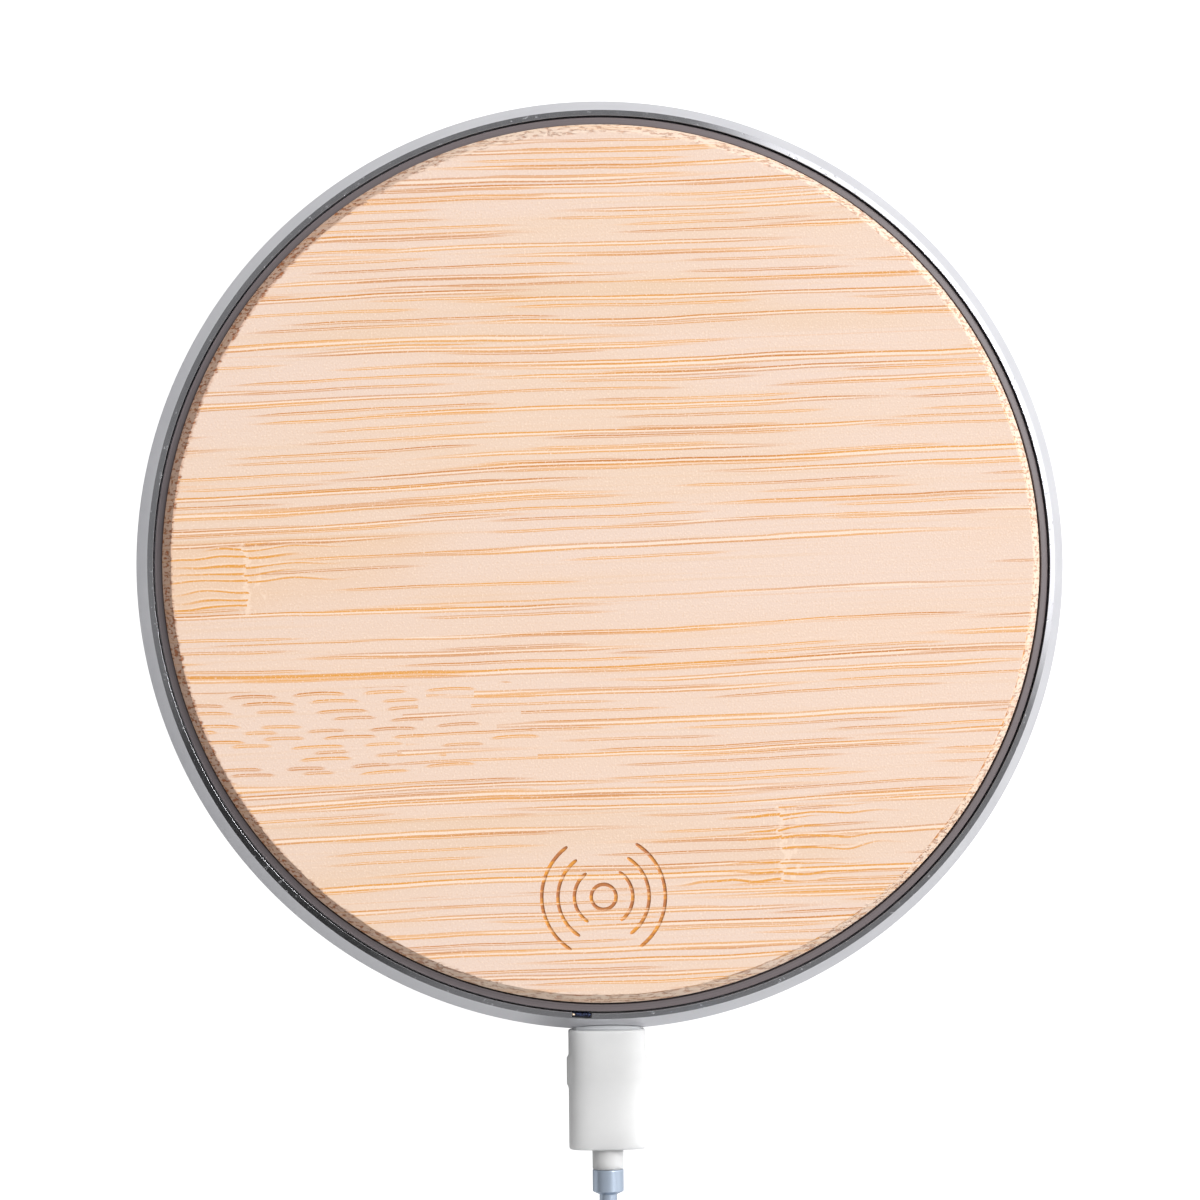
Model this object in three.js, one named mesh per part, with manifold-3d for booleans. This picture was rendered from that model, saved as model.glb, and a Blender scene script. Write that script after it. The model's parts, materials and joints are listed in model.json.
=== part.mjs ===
// Round wireless charging pad with its plugged-in USB cable.
// Millimetres, +Z up. Origin: centre of the pad, on the surface that it stands on.
// The cable leaves the pad along -Y.
import * as THREE from 'three';
import { mergeVertices } from 'three/addons/utils/BufferGeometryUtils.js';
import Module from 'manifold-3d';

const wasm = await Module();
wasm.setup();

// ---------------------------------------------------------------- driving dimensions
const SEGMENTS = 72; // round the pad's axis
const SMALL_SEGMENTS = 16; // round screws, cables and small holes
const FIT = 0.05; // gap between stacked films and seated parts
const OVERLAP = 0.3; // how far shapes run into each other before they are joined

// case ring: a flared wall, widest at RIM_Z, with a polished bevel on its top edge
const PAD_R = 50;
const RIM_Z = 4.2;
const RIM_HALF = 0.35; // half the height of the blunt rim
const RIM_BLUNT = 0.1; // how far the blunt rim's two edges stand back from its middle
const RING_BASE_Z = 1.5;
const RING_BASE_R = 48.2;
const WALL_TOP = [48.72, 6.95]; // r, z where the flared wall meets the bevel
const BEVEL_TOP = [48.08, 7.45]; // r, z of the bevel's inner edge
const RING_BORE_R = 46.6;
const LEDGE_Z = 4.9; // the top housing rests on this step

// top housing: a tray for the wooden disc
const TRAY_R = 47.9;
const TRAY_TOP_Z = 7.35;
const TRAY_LIP_Z = 7.05; // the tray's rim falls outwards to this height
const TRAY_POCKET_R = 47.12;
const TRAY_FLOOR_TOP_Z = 6.3;
const TRAY_FLOOR_Z = 5.5;
const SKIRT_R = 46.4; // locating skirt inside the ring's bore
const SKIRT_WALL = 1.1;
const SKIRT_Z = 3.9;

// wooden disc
const WOOD_R = 47;
const WOOD_TOP_R = 46.1;
const WOOD_TOP_Z = 8.6;
const WOOD_CHAMFER_Z = 7.6;
const WOOD_Z = 6.5;
const WOOD_FILM_R = 45;

// radio-wave symbol engraved in the wood: a circle between pairs of arcs
const SYMBOL_AT = [-0.4, -35.65];
const SYMBOL_TURN_DEG = 1.8;
const SYMBOL_LINE = 0.4;
const SYMBOL_DEPTH = 0.12;
const SYMBOL_CIRCLE_R = 1.33;
const SYMBOL_ARC_R = [3.12, 4.87, 6.6];
const SYMBOL_HALF_DEG = 56.5;

// base
const COVER_FLANGE_R = 47.6;
const COVER_R = 46.4;
const COVER_Z = 0.6;
const COVER_FLANGE_TOP_Z = 1.4;
const COVER_TOP_Z = 2.2;
const FOOT_OUTER_R = 42;
const FOOT_INNER_R = 36;
const FOOT_TOP_Z = 1.1;
const FOOT_EDGE = 0.3;
const GROOVE_GAP = 0.15;
const GROOVE_Z = 1.2;
const POST_R = 1.8; // the board's two screw posts
const PILOT_Z = 1.4; // bottom of the posts' pilot holes

// cover screws, under the foot
const SCREW_COUNT = 4;
const SCREW_PITCH_R = 39;
const SCREW_START_DEG = 45;
const SCREW_HEAD_R = 1.6;
const SCREW_HEAD_HEIGHT = 0.75;
const SCREW_HEAD_Z = 1.3;
const SCREW_SHANK_R = 0.85;
const SCREW_HOLE_R = 1.15;
const SCREW_TIP_Z = 5.2;
const WELL_GAP = 0.2; // between a screw's head and the wall of its well
const WELL_TOP_Z = 2.1;
const BOSS_R = 2.6;
const BOSS_JOINT_Z = 2.8;
const CROSS_REACH = 0.6; // half length of the head's cross slots, in head radii
const CROSS_HALF = 0.18;

// transmit coil stack, hanging under the tray floor
const COIL_OUTER_R = 21.8;
const COIL_INNER_R = 10.4;
const COIL_HEIGHT = 1.1;
const COIL_FILM = 0.1;
const FERRITE_SIDE = 48;
const FERRITE_THICKNESS = 0.8;
const THERMISTOR_R = 1.3;
const LEAD_R = 0.45;
const LEAD_X = 9; // one lead on each side of the middle
const LEAD_END_Y = -30.5;
const LEAD_GAP = 0.6; // from the coil's edge to the start of a lead
const LEAD_STRAIGHT = 3;
const LEAD_CLEAR = 1.6; // a lead stays level until it is this far past the ferrite

// circuit board, between the coil and the port
const BOARD_R = 44;
const BOARD_CHORD_Y = -27.5;
const BOARD_Z = 2.9;
const BOARD_THICKNESS = 0.8;
const BOARD_SCREW_AT = [24, -33];
const BOARD_SCREW = { headR: 1.3, headHeight: 0.55, shankR: 0.6, length: 2.6 };
const BOARD_HOLE_R = 0.95;

// parts on the board: centres as x, y, and sizes as width, depth, height
const CHIP_AT = [-12, -36];
const CHIP_SIZE = [5, 5, 0.85];
const TRANSISTORS_AT = [[9.5, -33.5], [14.5, -33.5]];
const TRANSISTOR_SIZE = [3.3, 3.3, 0.85];
const INDUCTOR_AT = [13, -38.5];
const INDUCTOR_SIZE = [4, 4, 1.3];
const CAPACITOR_SIZE = [1.6, 3.2, 1.3];
const RESONANT_CAPACITORS = { count: 4, firstX: -4.5, pitch: 3, y: -36.5 };
const INPUT_CAPACITORS_AT = [[7.5, -39.5], [-7, -39.5]];
const LAMP_HALF_WIDTH = 0.6;
const LAMP_HEIGHT = 0.5;

// USB port and plug, on one axis
const PORT_Z = 3.8;
const PORT_SLOT = [8.5, 2.9]; // width and height of the port's inner part
const PORT_OVAL = [8.1, 3.4]; // and of its outer part, an ellipse for the plug's nose
const PORT_RECESS_Y = -47.9; // where the slot meets the ellipse
const USB_TOP_CUT = 0.3;
// the tray's skirt leaves room for the socket
const PORT_NOTCH = { half: 4.6, backY: -41, topZ: 5.75 };
const SOCKET = { width: 7.5, height: 2.5, wall: 0.25, mouthY: -47.3, backY: -41.8, seatY: -42.6 };
const TONGUE = { halfWidth: 1.8, low: 0.04, high: 0.54, inset: 0.7 }; // low and high: above the axis
const SHELL = { width: 6.8, height: 1.76, wall: 0.22, tipY: -42.9, backY: -55.8 };
const INSULATOR = { halfWidth: 2.5, low: -0.62, high: -0.1 };
const OVERMOULD = { width: 8.3, height: 4.8, frontY: -50.05, backY: -62.8, round: 0.2 };
const NOSE = { width: 7.9, height: 3.2, frontY: -49.3 }; // the oval end that enters the port
const NECK_R = 1.67;
const NECK_END_Y = -65.02;
const BOOT_END_Y = -67.7;
const BOOT_BEVEL = 0.3;

// lamp window in the bevel
const LAMP_DEG = -3.4; // from the port's axis
const LAMP_POCKET_R = 48.6;
const PIPE_WIDTH = 1.9;
const PIPE = {
  backY: -39.8, footY: -41.2, footZ: 4.35, legZ: 5.55, legTopZ: 5.95, riseY: -48.12, frontY: -48.45,
};

// cord: it comes down from the plug to the surface, then runs into the wound coil
const CORD_D = 1.9;
const CORD_STEPS = 10;
const COIL_SEGMENTS = 32;
const COIL_PITCH = 1.02 * CORD_D;
const COIL_TURNS_WIDE = 4;
const COIL_TURNS_HIGH = 4;
const COIL_MEAN_R = 10.7;
const COIL_Z = 0.4; // underside of the lowest turn, which lies on the tie
const COIL_CENTRE = [13.607, -88];
const NEAR_ROUTE = [
  [0, -68, 3.8], [0, -70, 3.76], [0, -72, 3.6], [0, -74, 3.22],
  [0, -76, 2.7], [0, -78, 2.2], [0, -79.9, 1.8],
];
const FAR_ROUTE = [
  [23.4, -100.64, 5.3], [25.5, -100.64, 4.75], [28, -100.64, 4.1],
  [30.5, -100.64, 3.65], [32.7, -100.64, 3.5],
];
const TIE_THICKNESS = 0.3;
const TIE_WIDTH = 3.2;
const TIE_GAP = 0.1;

// large USB plug at the cord's far end, lying along +X
const A_PLUG = {
  shellWidth: 12, shellHeight: 4.5, shellWall: 0.3, shellLength: 12.5,
  bodyWidth: 15, bodyHeight: 7, bodyLength: 19, bodyRound: 0.8,
  bootLength: 7, bootR: 1.5, bootEndR: 2.3,
};
const A_TONGUE = { halfWidth: 5.4, bottom: -1.85, inset: 0.6 };
const A_PLUG_AT = [33, -100.64, 3.5];

// ---------------------------------------------------------------- materials
function finish(color, roughness, metalness = 0) {
  return () => new THREE.MeshStandardMaterial({ color, roughness, metalness });
}
const bamboo = finish('#eecfb0', 0.6);
const satinAluminium = finish('#b9bac0', 0.35, 1);
const darkPlastic = finish('#565052', 0.5);
const blackPlastic = finish('#2b2b2d', 0.6);
const rubber = finish('#3a3a3c', 0.85);
const steel = finish('#b4b4b8', 0.3, 1);
const tinned = finish('#c9c9c6', 0.35, 1);
const copper = finish('#b8693a', 0.4, 1);
const ferrite = finish('#3d3d40', 0.7);
const film = finish('#e6e1d2', 0.7);
const boardGreen = finish('#1f5a3a', 0.45);
const chipBlack = finish('#1d1d1f', 0.5);
const ceramic = finish('#a98c6a', 0.5);
const lampLens = finish('#2a2f45', 0.2);
const whitePlastic = finish('#ececec', 0.4);
const blueGrey = finish('#b0bed0', 0.45);

// ---------------------------------------------------------------- shape helpers
const rad = THREE.MathUtils.degToRad;

// Turns [r, z] points, listed anticlockwise round the section, about Z.
function turned(points, segments = SEGMENTS) {
  const profile = points.map(([r, z]) => new THREE.Vector2(r, z));
  return new THREE.LatheGeometry(profile, segments).rotateX(Math.PI / 2);
}

function ring(innerR, outerR, z0, z1, segments = SEGMENTS) {
  return turned([[innerR, z0], [outerR, z0], [outerR, z1], [innerR, z1], [innerR, z0]], segments);
}

function disc(r, z0, z1, segments = SEGMENTS) {
  return turned([[0, z0], [r, z0], [r, z1], [0, z1]], segments);
}

function rod(r, z0, z1, x = 0, y = 0) {
  return disc(r, z0, z1, SMALL_SEGMENTS).translate(x, y, 0);
}

// A box given by its lowest and highest corners.
function block([x0, y0, z0], [x1, y1, z1]) {
  const box = new THREE.BoxGeometry(x1 - x0, y1 - y0, z1 - z0);
  return box.translate((x0 + x1) / 2, (y0 + y1) / 2, (z0 + z1) / 2);
}

// Extrudes an outline drawn in x and z along y, from the higher y0 down to y1.
function alongY(outline, y0, y1) {
  const options = { depth: y0 - y1, bevelEnabled: false, curveSegments: 16 };
  return new THREE.ExtrudeGeometry(outline, options).rotateX(Math.PI / 2).translate(0, y0, 0);
}

function stadium(width, height, z) {
  const r = height / 2;
  const flat = width / 2 - r;
  const shape = new THREE.Shape();
  shape.absarc(flat, z, r, -Math.PI / 2, Math.PI / 2, false);
  shape.absarc(-flat, z, r, Math.PI / 2, 1.5 * Math.PI, false);
  shape.closePath();
  return shape;
}

function ellipse(width, height, z) {
  const shape = new THREE.Shape();
  shape.absellipse(0, z, width / 2, height / 2, 0, 2 * Math.PI, false);
  shape.closePath();
  return shape;
}

// The small USB outline: a slot with small cuts on its upper corners and large ones on its lower corners.
function usbOutline(width, height, z) {
  const w = width / 2;
  const h = height / 2;
  const cut = height * 0.45;
  const top = USB_TOP_CUT;
  const right = [[w - top, h], [w, h - top], [w, cut - h], [w - cut, -h]];
  const left = right.map(([x, dz]) => [-x, dz]).reverse();
  const corners = [...right, ...left];
  return new THREE.Shape(corners.map(([x, dz]) => new THREE.Vector2(x, z + dz)).reverse());
}

function rectangle(width, height, z) {
  const w = width / 2;
  const h = height / 2;
  const corners = [[-w, -h], [w, -h], [w, h], [-w, h]];
  return new THREE.Shape(corners.map(([x, dz]) => new THREE.Vector2(x, z + dz)));
}

function toSolid(geometry) {
  const plain = geometry.clone();
  plain.deleteAttribute('normal');
  plain.deleteAttribute('uv');
  const merged = mergeVertices(plain, 1e-4);
  const index = merged.index.array;
  const kept = [];
  for (let i = 0; i < index.length; i += 3) {
    const [a, b, c] = index.slice(i, i + 3);
    if (a !== b && b !== c && c !== a) kept.push(a, b, c);
  }
  return new wasm.Manifold(new wasm.Mesh({
    numProp: 3,
    vertProperties: new Float32Array(merged.attributes.position.array),
    triVerts: new Uint32Array(kept),
  }));
}

function toGeometry(solid) {
  const mesh = solid.getMesh();
  const geometry = new THREE.BufferGeometry();
  geometry.setAttribute('position', new THREE.BufferAttribute(new Float32Array(mesh.vertProperties), 3));
  geometry.setIndex(new THREE.BufferAttribute(new Uint32Array(mesh.triVerts), 1));
  geometry.computeVertexNormals();
  return geometry;
}

function join(first, ...others) {
  return toGeometry(others.reduce((solid, other) => solid.add(toSolid(other)), toSolid(first)));
}

function cut(body, ...tools) {
  return toGeometry(tools.reduce((solid, tool) => solid.subtract(toSolid(tool)), toSolid(body)));
}

function add(group, name, geometry, material) {
  const mesh = new THREE.Mesh(geometry, material());
  mesh.name = name;
  group.add(mesh);
  return mesh;
}

function polar(r, degrees) {
  return [r * Math.cos(rad(degrees)), r * Math.sin(rad(degrees))];
}

// ---------------------------------------------------------------- casing
function screwPlaces() {
  const step = 360 / SCREW_COUNT;
  return Array.from({ length: SCREW_COUNT }, (_, i) => polar(SCREW_PITCH_R, SCREW_START_DEG + i * step));
}

function boardScrewPlaces() {
  const [x, y] = BOARD_SCREW_AT;
  return [[x, y], [-x, y]];
}

function lampPocket() {
  const half = PIPE_WIDTH / 2 + 2 * FIT;
  const low = [-half, -LAMP_POCKET_R, PIPE.legZ - 2 * FIT];
  return block(low, [half, -RING_BORE_R + 1, WOOD_TOP_Z]).rotateZ(rad(LAMP_DEG));
}

function caseRing() {
  const body = turned([
    [RING_BORE_R, RING_BASE_Z],
    [RING_BASE_R, RING_BASE_Z],
    [PAD_R - RIM_BLUNT, RIM_Z - RIM_HALF],
    [PAD_R, RIM_Z],
    [PAD_R - RIM_BLUNT, RIM_Z + RIM_HALF],
    WALL_TOP,
    BEVEL_TOP,
    [BEVEL_TOP[0], LEDGE_Z],
    [RING_BORE_R, LEDGE_Z],
    [RING_BORE_R, RING_BASE_Z],
  ]);
  const slot = alongY(stadium(...PORT_SLOT, PORT_Z), -RING_BORE_R + 1, PORT_RECESS_Y);
  const recess = alongY(ellipse(...PORT_OVAL, PORT_Z), PORT_RECESS_Y + 0.1, -PAD_R - 1);
  return cut(body, slot, recess, lampPocket());
}

function topHousing() {
  const floorEdge = LEDGE_Z + FIT;
  const tray = turned([
    [0, TRAY_FLOOR_Z],
    [SKIRT_R - SKIRT_WALL, TRAY_FLOOR_Z],
    [SKIRT_R - SKIRT_WALL, SKIRT_Z],
    [SKIRT_R, SKIRT_Z],
    [SKIRT_R, floorEdge],
    [TRAY_R, floorEdge],
    [TRAY_R, TRAY_LIP_Z],
    [TRAY_POCKET_R, TRAY_TOP_Z],
    [TRAY_POCKET_R, TRAY_FLOOR_TOP_Z],
    [0, TRAY_FLOOR_TOP_Z],
  ]);
  const bossTop = TRAY_FLOOR_Z + OVERLAP;
  const bosses = screwPlaces().map(([x, y]) => rod(BOSS_R, BOSS_JOINT_Z + 2 * FIT, bossTop, x, y));
  const pilots = screwPlaces().map(([x, y]) => rod(SCREW_HOLE_R, 0, SCREW_TIP_Z + 0.2, x, y));
  const far = -PAD_R;
  const portNotch = block(
    [-PORT_NOTCH.half, far, 0],
    [PORT_NOTCH.half, PORT_NOTCH.backY, PORT_NOTCH.topZ],
  );
  const half = PIPE_WIDTH / 2 + 3 * FIT;
  const lampNotch = block([-half, far, 0], [half, PIPE.backY + 0.3, PIPE.legTopZ + FIT]);
  return cut(join(tray, ...bosses), ...pilots, portNotch, lampNotch.rotateZ(rad(LAMP_DEG)));
}

function engravedArc(r, middleDeg) {
  const from = rad(middleDeg - SYMBOL_HALF_DEG);
  const to = rad(middleDeg + SYMBOL_HALF_DEG);
  const shape = new THREE.Shape();
  shape.absarc(0, 0, r + SYMBOL_LINE / 2, from, to, false);
  shape.absarc(0, 0, r - SYMBOL_LINE / 2, to, from, true);
  shape.closePath();
  return new THREE.ExtrudeGeometry(shape, { depth: 1, bevelEnabled: false, curveSegments: 10 });
}

function symbolTools() {
  const half = SYMBOL_LINE / 2;
  const circle = ring(SYMBOL_CIRCLE_R - half, SYMBOL_CIRCLE_R + half, 0, 1, SMALL_SEGMENTS);
  const arcs = SYMBOL_ARC_R.flatMap((r) => [engravedArc(r, 0), engravedArc(r, 180)]);
  return [circle, ...arcs].map((tool) => {
    return tool.rotateZ(rad(SYMBOL_TURN_DEG)).translate(...SYMBOL_AT, WOOD_TOP_Z - SYMBOL_DEPTH);
  });
}

function woodenDisc() {
  const blank = turned([
    [0, WOOD_Z],
    [WOOD_R, WOOD_Z],
    [WOOD_R, WOOD_CHAMFER_Z],
    [WOOD_TOP_R, WOOD_TOP_Z],
    [0, WOOD_TOP_Z],
  ]);
  return cut(blank, ...symbolTools());
}

function bottomCover() {
  const plate = turned([
    [0, COVER_Z],
    [FOOT_INNER_R - GROOVE_GAP, COVER_Z],
    [FOOT_INNER_R - GROOVE_GAP, GROOVE_Z],
    [FOOT_OUTER_R + GROOVE_GAP, GROOVE_Z],
    [FOOT_OUTER_R + GROOVE_GAP, COVER_Z],
    [COVER_FLANGE_R, COVER_Z],
    [COVER_FLANGE_R, COVER_FLANGE_TOP_Z],
    [COVER_R, COVER_FLANGE_TOP_Z],
    [COVER_R, COVER_TOP_Z],
    [0, COVER_TOP_Z],
  ]);
  const rootZ = COVER_TOP_Z - OVERLAP;
  const pads = screwPlaces().map(([x, y]) => rod(BOSS_R, rootZ, BOSS_JOINT_Z, x, y));
  const posts = boardScrewPlaces().map(([x, y]) => rod(POST_R, rootZ, BOARD_Z - FIT, x, y));
  const wells = screwPlaces().map(([x, y]) => rod(SCREW_HEAD_R + WELL_GAP, 0, WELL_TOP_Z, x, y));
  const holes = screwPlaces().map(([x, y]) => rod(SCREW_HOLE_R, 0, BOARD_Z, x, y));
  const pilots = boardScrewPlaces().map(([x, y]) => rod(BOARD_HOLE_R, PILOT_Z, BOARD_Z, x, y));
  return cut(join(plate, ...pads, ...posts), ...wells, ...holes, ...pilots);
}

function footRing() {
  return turned([
    [FOOT_INNER_R + FOOT_EDGE, 0],
    [FOOT_OUTER_R - FOOT_EDGE, 0],
    [FOOT_OUTER_R, FOOT_EDGE],
    [FOOT_OUTER_R, FOOT_TOP_Z],
    [FOOT_INNER_R, FOOT_TOP_Z],
    [FOOT_INNER_R, FOOT_EDGE],
    [FOOT_INNER_R + FOOT_EDGE, 0],
  ]);
}

// A cross-head screw standing head down, with its head from z0 up to z0 + headHeight.
function screw(headR, headHeight, shankR, z0, tipZ) {
  const body = turned([
    [0, z0],
    [headR, z0],
    [headR, z0 + headHeight * 0.6],
    [shankR, z0 + headHeight],
    [shankR, tipZ - shankR],
    [0, tipZ],
  ], SMALL_SEGMENTS);
  const half = headR * CROSS_REACH;
  const slots = [[half, CROSS_HALF], [CROSS_HALF, half]];
  const crosses = slots.map(([a, b]) => block([-a, -b, z0 - 1], [a, b, z0 + headHeight * 0.5]));
  return cut(body, ...crosses);
}

function addCasing(pad) {
  add(pad, 'bamboo_disc', woodenDisc(), bamboo);
  add(pad, 'wood_adhesive', disc(WOOD_FILM_R, TRAY_FLOOR_TOP_Z + FIT, WOOD_Z - FIT), film);
  add(pad, 'top_housing', topHousing(), darkPlastic);
  add(pad, 'case_ring', caseRing(), satinAluminium);
  add(pad, 'bottom_cover', bottomCover(), blackPlastic);
  add(pad, 'rubber_foot', footRing(), rubber);
  screwPlaces().forEach(([x, y], i) => {
    const piece = screw(SCREW_HEAD_R, SCREW_HEAD_HEIGHT, SCREW_SHANK_R, SCREW_HEAD_Z, SCREW_TIP_Z);
    add(pad, `cover_screw_${i + 1}`, piece, steel).position.set(x, y, 0);
  });
}

// ---------------------------------------------------------------- transmit coil
function tubeAlong(points, r, steps, sides = 8) {
  const section = new THREE.Shape();
  for (let i = 0; i < sides; i += 1) {
    const angle = (2 * Math.PI * i) / sides;
    const corner = [r * Math.cos(angle), r * Math.sin(angle)];
    if (i === 0) section.moveTo(...corner);
    else section.lineTo(...corner);
  }
  const path = new THREE.CatmullRomCurve3(points.map((p) => new THREE.Vector3(...p)));
  return new THREE.ExtrudeGeometry(section, { steps, extrudePath: path, curveSegments: 1 });
}

function addCoil(pad) {
  const coilTop = TRAY_FLOOR_Z - COIL_FILM - 2 * FIT;
  const coilBottom = coilTop - COIL_HEIGHT;
  const ferriteTop = coilBottom - FIT;
  const ferriteBottom = ferriteTop - FERRITE_THICKNESS;
  const half = FERRITE_SIDE / 2;
  add(pad, 'coil_adhesive', disc(COIL_OUTER_R, TRAY_FLOOR_Z - FIT - COIL_FILM, TRAY_FLOOR_Z - FIT), film);
  add(pad, 'transmit_coil', ring(COIL_INNER_R, COIL_OUTER_R, coilBottom, coilTop), copper);
  add(pad, 'ferrite_sheet', block([-half, -half, ferriteBottom], [half, half, ferriteTop]), ferrite);
  add(pad, 'thermistor', rod(THERMISTOR_R, coilBottom + 2 * FIT, coilTop - 2 * FIT), chipBlack);
  const boardTop = BOARD_Z + BOARD_THICKNESS;
  const leadZ = coilBottom + LEAD_R;
  const landZ = boardTop + LEAD_R + FIT;
  for (const [name, x] of [['coil_lead_start', -LEAD_X], ['coil_lead_end', LEAD_X]]) {
    const y0 = -Math.sqrt((COIL_OUTER_R + LEAD_GAP) ** 2 - x * x);
    const bendY = -half - LEAD_CLEAR;
    const route = [[x, y0, leadZ], [x, y0 - LEAD_STRAIGHT, leadZ], [x, bendY, leadZ], [x, LEAD_END_Y, landZ]];
    add(pad, name, tubeAlong(route, LEAD_R, 8), copper);
  }
}

// ---------------------------------------------------------------- circuit board
function boardPlate() {
  const start = Math.asin(-BOARD_CHORD_Y / BOARD_R);
  const outline = new THREE.Shape();
  outline.absarc(0, 0, BOARD_R, Math.PI + start, 2 * Math.PI - start, false);
  outline.closePath();
  const options = { depth: BOARD_THICKNESS, bevelEnabled: false, curveSegments: 24 };
  const plate = new THREE.ExtrudeGeometry(outline, options).translate(0, 0, BOARD_Z);
  const notchHalf = SOCKET.width / 2 + 0.3;
  const socketNotch = block([-notchHalf, -PAD_R, 0], [notchHalf, SOCKET.backY + 0.3, PORT_Z]);
  const holes = boardScrewPlaces().map(([x, y]) => rod(BOARD_HOLE_R, 0, PORT_Z, x, y));
  const reliefs = screwPlaces().map(([x, y]) => rod(BOSS_R + 0.4, 0, PORT_Z, x, y));
  return cut(plate, socketNotch, ...holes, ...reliefs);
}

function addBoard(pad) {
  const top = BOARD_Z + BOARD_THICKNESS + FIT;
  const addPart = (name, [x, y], [width, depth, height], material) => {
    const low = [x - width / 2, y - depth / 2, top];
    add(pad, name, block(low, [x + width / 2, y + depth / 2, top + height]), material);
  };
  add(pad, 'circuit_board', boardPlate(), boardGreen);
  boardScrewPlaces().forEach(([x, y], i) => {
    const { headR, headHeight, shankR, length } = BOARD_SCREW;
    const piece = screw(headR, headHeight, shankR, 0, length).rotateX(Math.PI);
    add(pad, `board_screw_${i + 1}`, piece, steel).position.set(x, y, top + headHeight);
  });
  addPart('controller_chip', CHIP_AT, CHIP_SIZE, chipBlack);
  TRANSISTORS_AT.forEach((at, i) => {
    addPart(`bridge_transistor_${i + 1}`, at, TRANSISTOR_SIZE, chipBlack);
  });
  addPart('input_inductor', INDUCTOR_AT, INDUCTOR_SIZE, ferrite);
  for (let i = 0; i < RESONANT_CAPACITORS.count; i += 1) {
    const at = [RESONANT_CAPACITORS.firstX + RESONANT_CAPACITORS.pitch * i, RESONANT_CAPACITORS.y];
    addPart(`resonant_capacitor_${i + 1}`, at, CAPACITOR_SIZE, ceramic);
  }
  INPUT_CAPACITORS_AT.forEach((at, i) => {
    addPart(`input_capacitor_${i + 1}`, at, CAPACITOR_SIZE, ceramic);
  });
  const lamp = block(
    [-LAMP_HALF_WIDTH, PIPE.footY + 0.2, top],
    [LAMP_HALF_WIDTH, PIPE.backY - 0.2, top + LAMP_HEIGHT],
  );
  add(pad, 'status_lamp', lamp, whitePlastic).rotation.z = rad(LAMP_DEG);
}

// ---------------------------------------------------------------- port and lamp window
function addPort(pad) {
  const outer = usbOutline(SOCKET.width, SOCKET.height, PORT_Z);
  const inner = usbOutline(SOCKET.width - 2 * SOCKET.wall, SOCKET.height - 2 * SOCKET.wall, PORT_Z);
  const tube = alongY(outer, SOCKET.backY, SOCKET.mouthY);
  const hollow = alongY(inner, SOCKET.backY + 1, SOCKET.mouthY - 1);
  add(pad, 'usb_socket_shell', cut(tube, hollow), tinned);
  const seatWidth = SOCKET.width - 2 * SOCKET.wall - 2 * FIT;
  const seatHeight = SOCKET.height - 2 * SOCKET.wall - 2 * FIT;
  const seat = alongY(usbOutline(seatWidth, seatHeight, PORT_Z), SOCKET.backY - FIT, SOCKET.seatY);
  const tongue = block(
    [-TONGUE.halfWidth, SOCKET.mouthY + TONGUE.inset, PORT_Z + TONGUE.low],
    [TONGUE.halfWidth, SOCKET.seatY + OVERLAP, PORT_Z + TONGUE.high],
  );
  add(pad, 'usb_socket_tongue', join(seat, tongue), blackPlastic);
}

// It collects the lamp's light behind the socket, passes over the socket and rises into the bevel's slot.
function addLightPipe(pad) {
  const corners = [
    [PIPE.backY, PIPE.footZ],
    [PIPE.backY, PIPE.legTopZ],
    [PIPE.riseY, PIPE.legTopZ],
    [PIPE.riseY, BEVEL_TOP[1] - 0.1],
    [PIPE.frontY, BEVEL_TOP[1] - 0.38],
    [PIPE.frontY, PIPE.legZ],
    [PIPE.footY, PIPE.legZ],
    [PIPE.footY, PIPE.footZ],
  ];
  const outline = new THREE.Shape(corners.map(([y, z]) => new THREE.Vector2(y, z)));
  const pipe = new THREE.ExtrudeGeometry(outline, { depth: PIPE_WIDTH, bevelEnabled: false });
  pipe.rotateX(Math.PI / 2).rotateZ(Math.PI / 2).translate(-PIPE_WIDTH / 2, 0, 0);
  add(pad, 'light_pipe', pipe, lampLens).rotation.z = rad(LAMP_DEG);
}

// ---------------------------------------------------------------- cable
function roundedAlongY(outline, y0, y1, round) {
  const options = {
    depth: y0 - y1 - 2 * round,
    bevelEnabled: true,
    bevelThickness: round,
    bevelSize: round,
    bevelOffset: -round,
    bevelSegments: 2,
    curveSegments: 8,
  };
  return new THREE.ExtrudeGeometry(outline, options).rotateX(Math.PI / 2).translate(0, y0 - round, 0);
}

// Turns [r, y] points about the port's axis, from the front of the plug to its back.
function turnedAboutPort(points) {
  const flipped = points.map(([r, y]) => [r, -y]);
  return turned(flipped, SMALL_SEGMENTS).rotateX(Math.PI / 2).translate(0, 0, PORT_Z);
}

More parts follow.
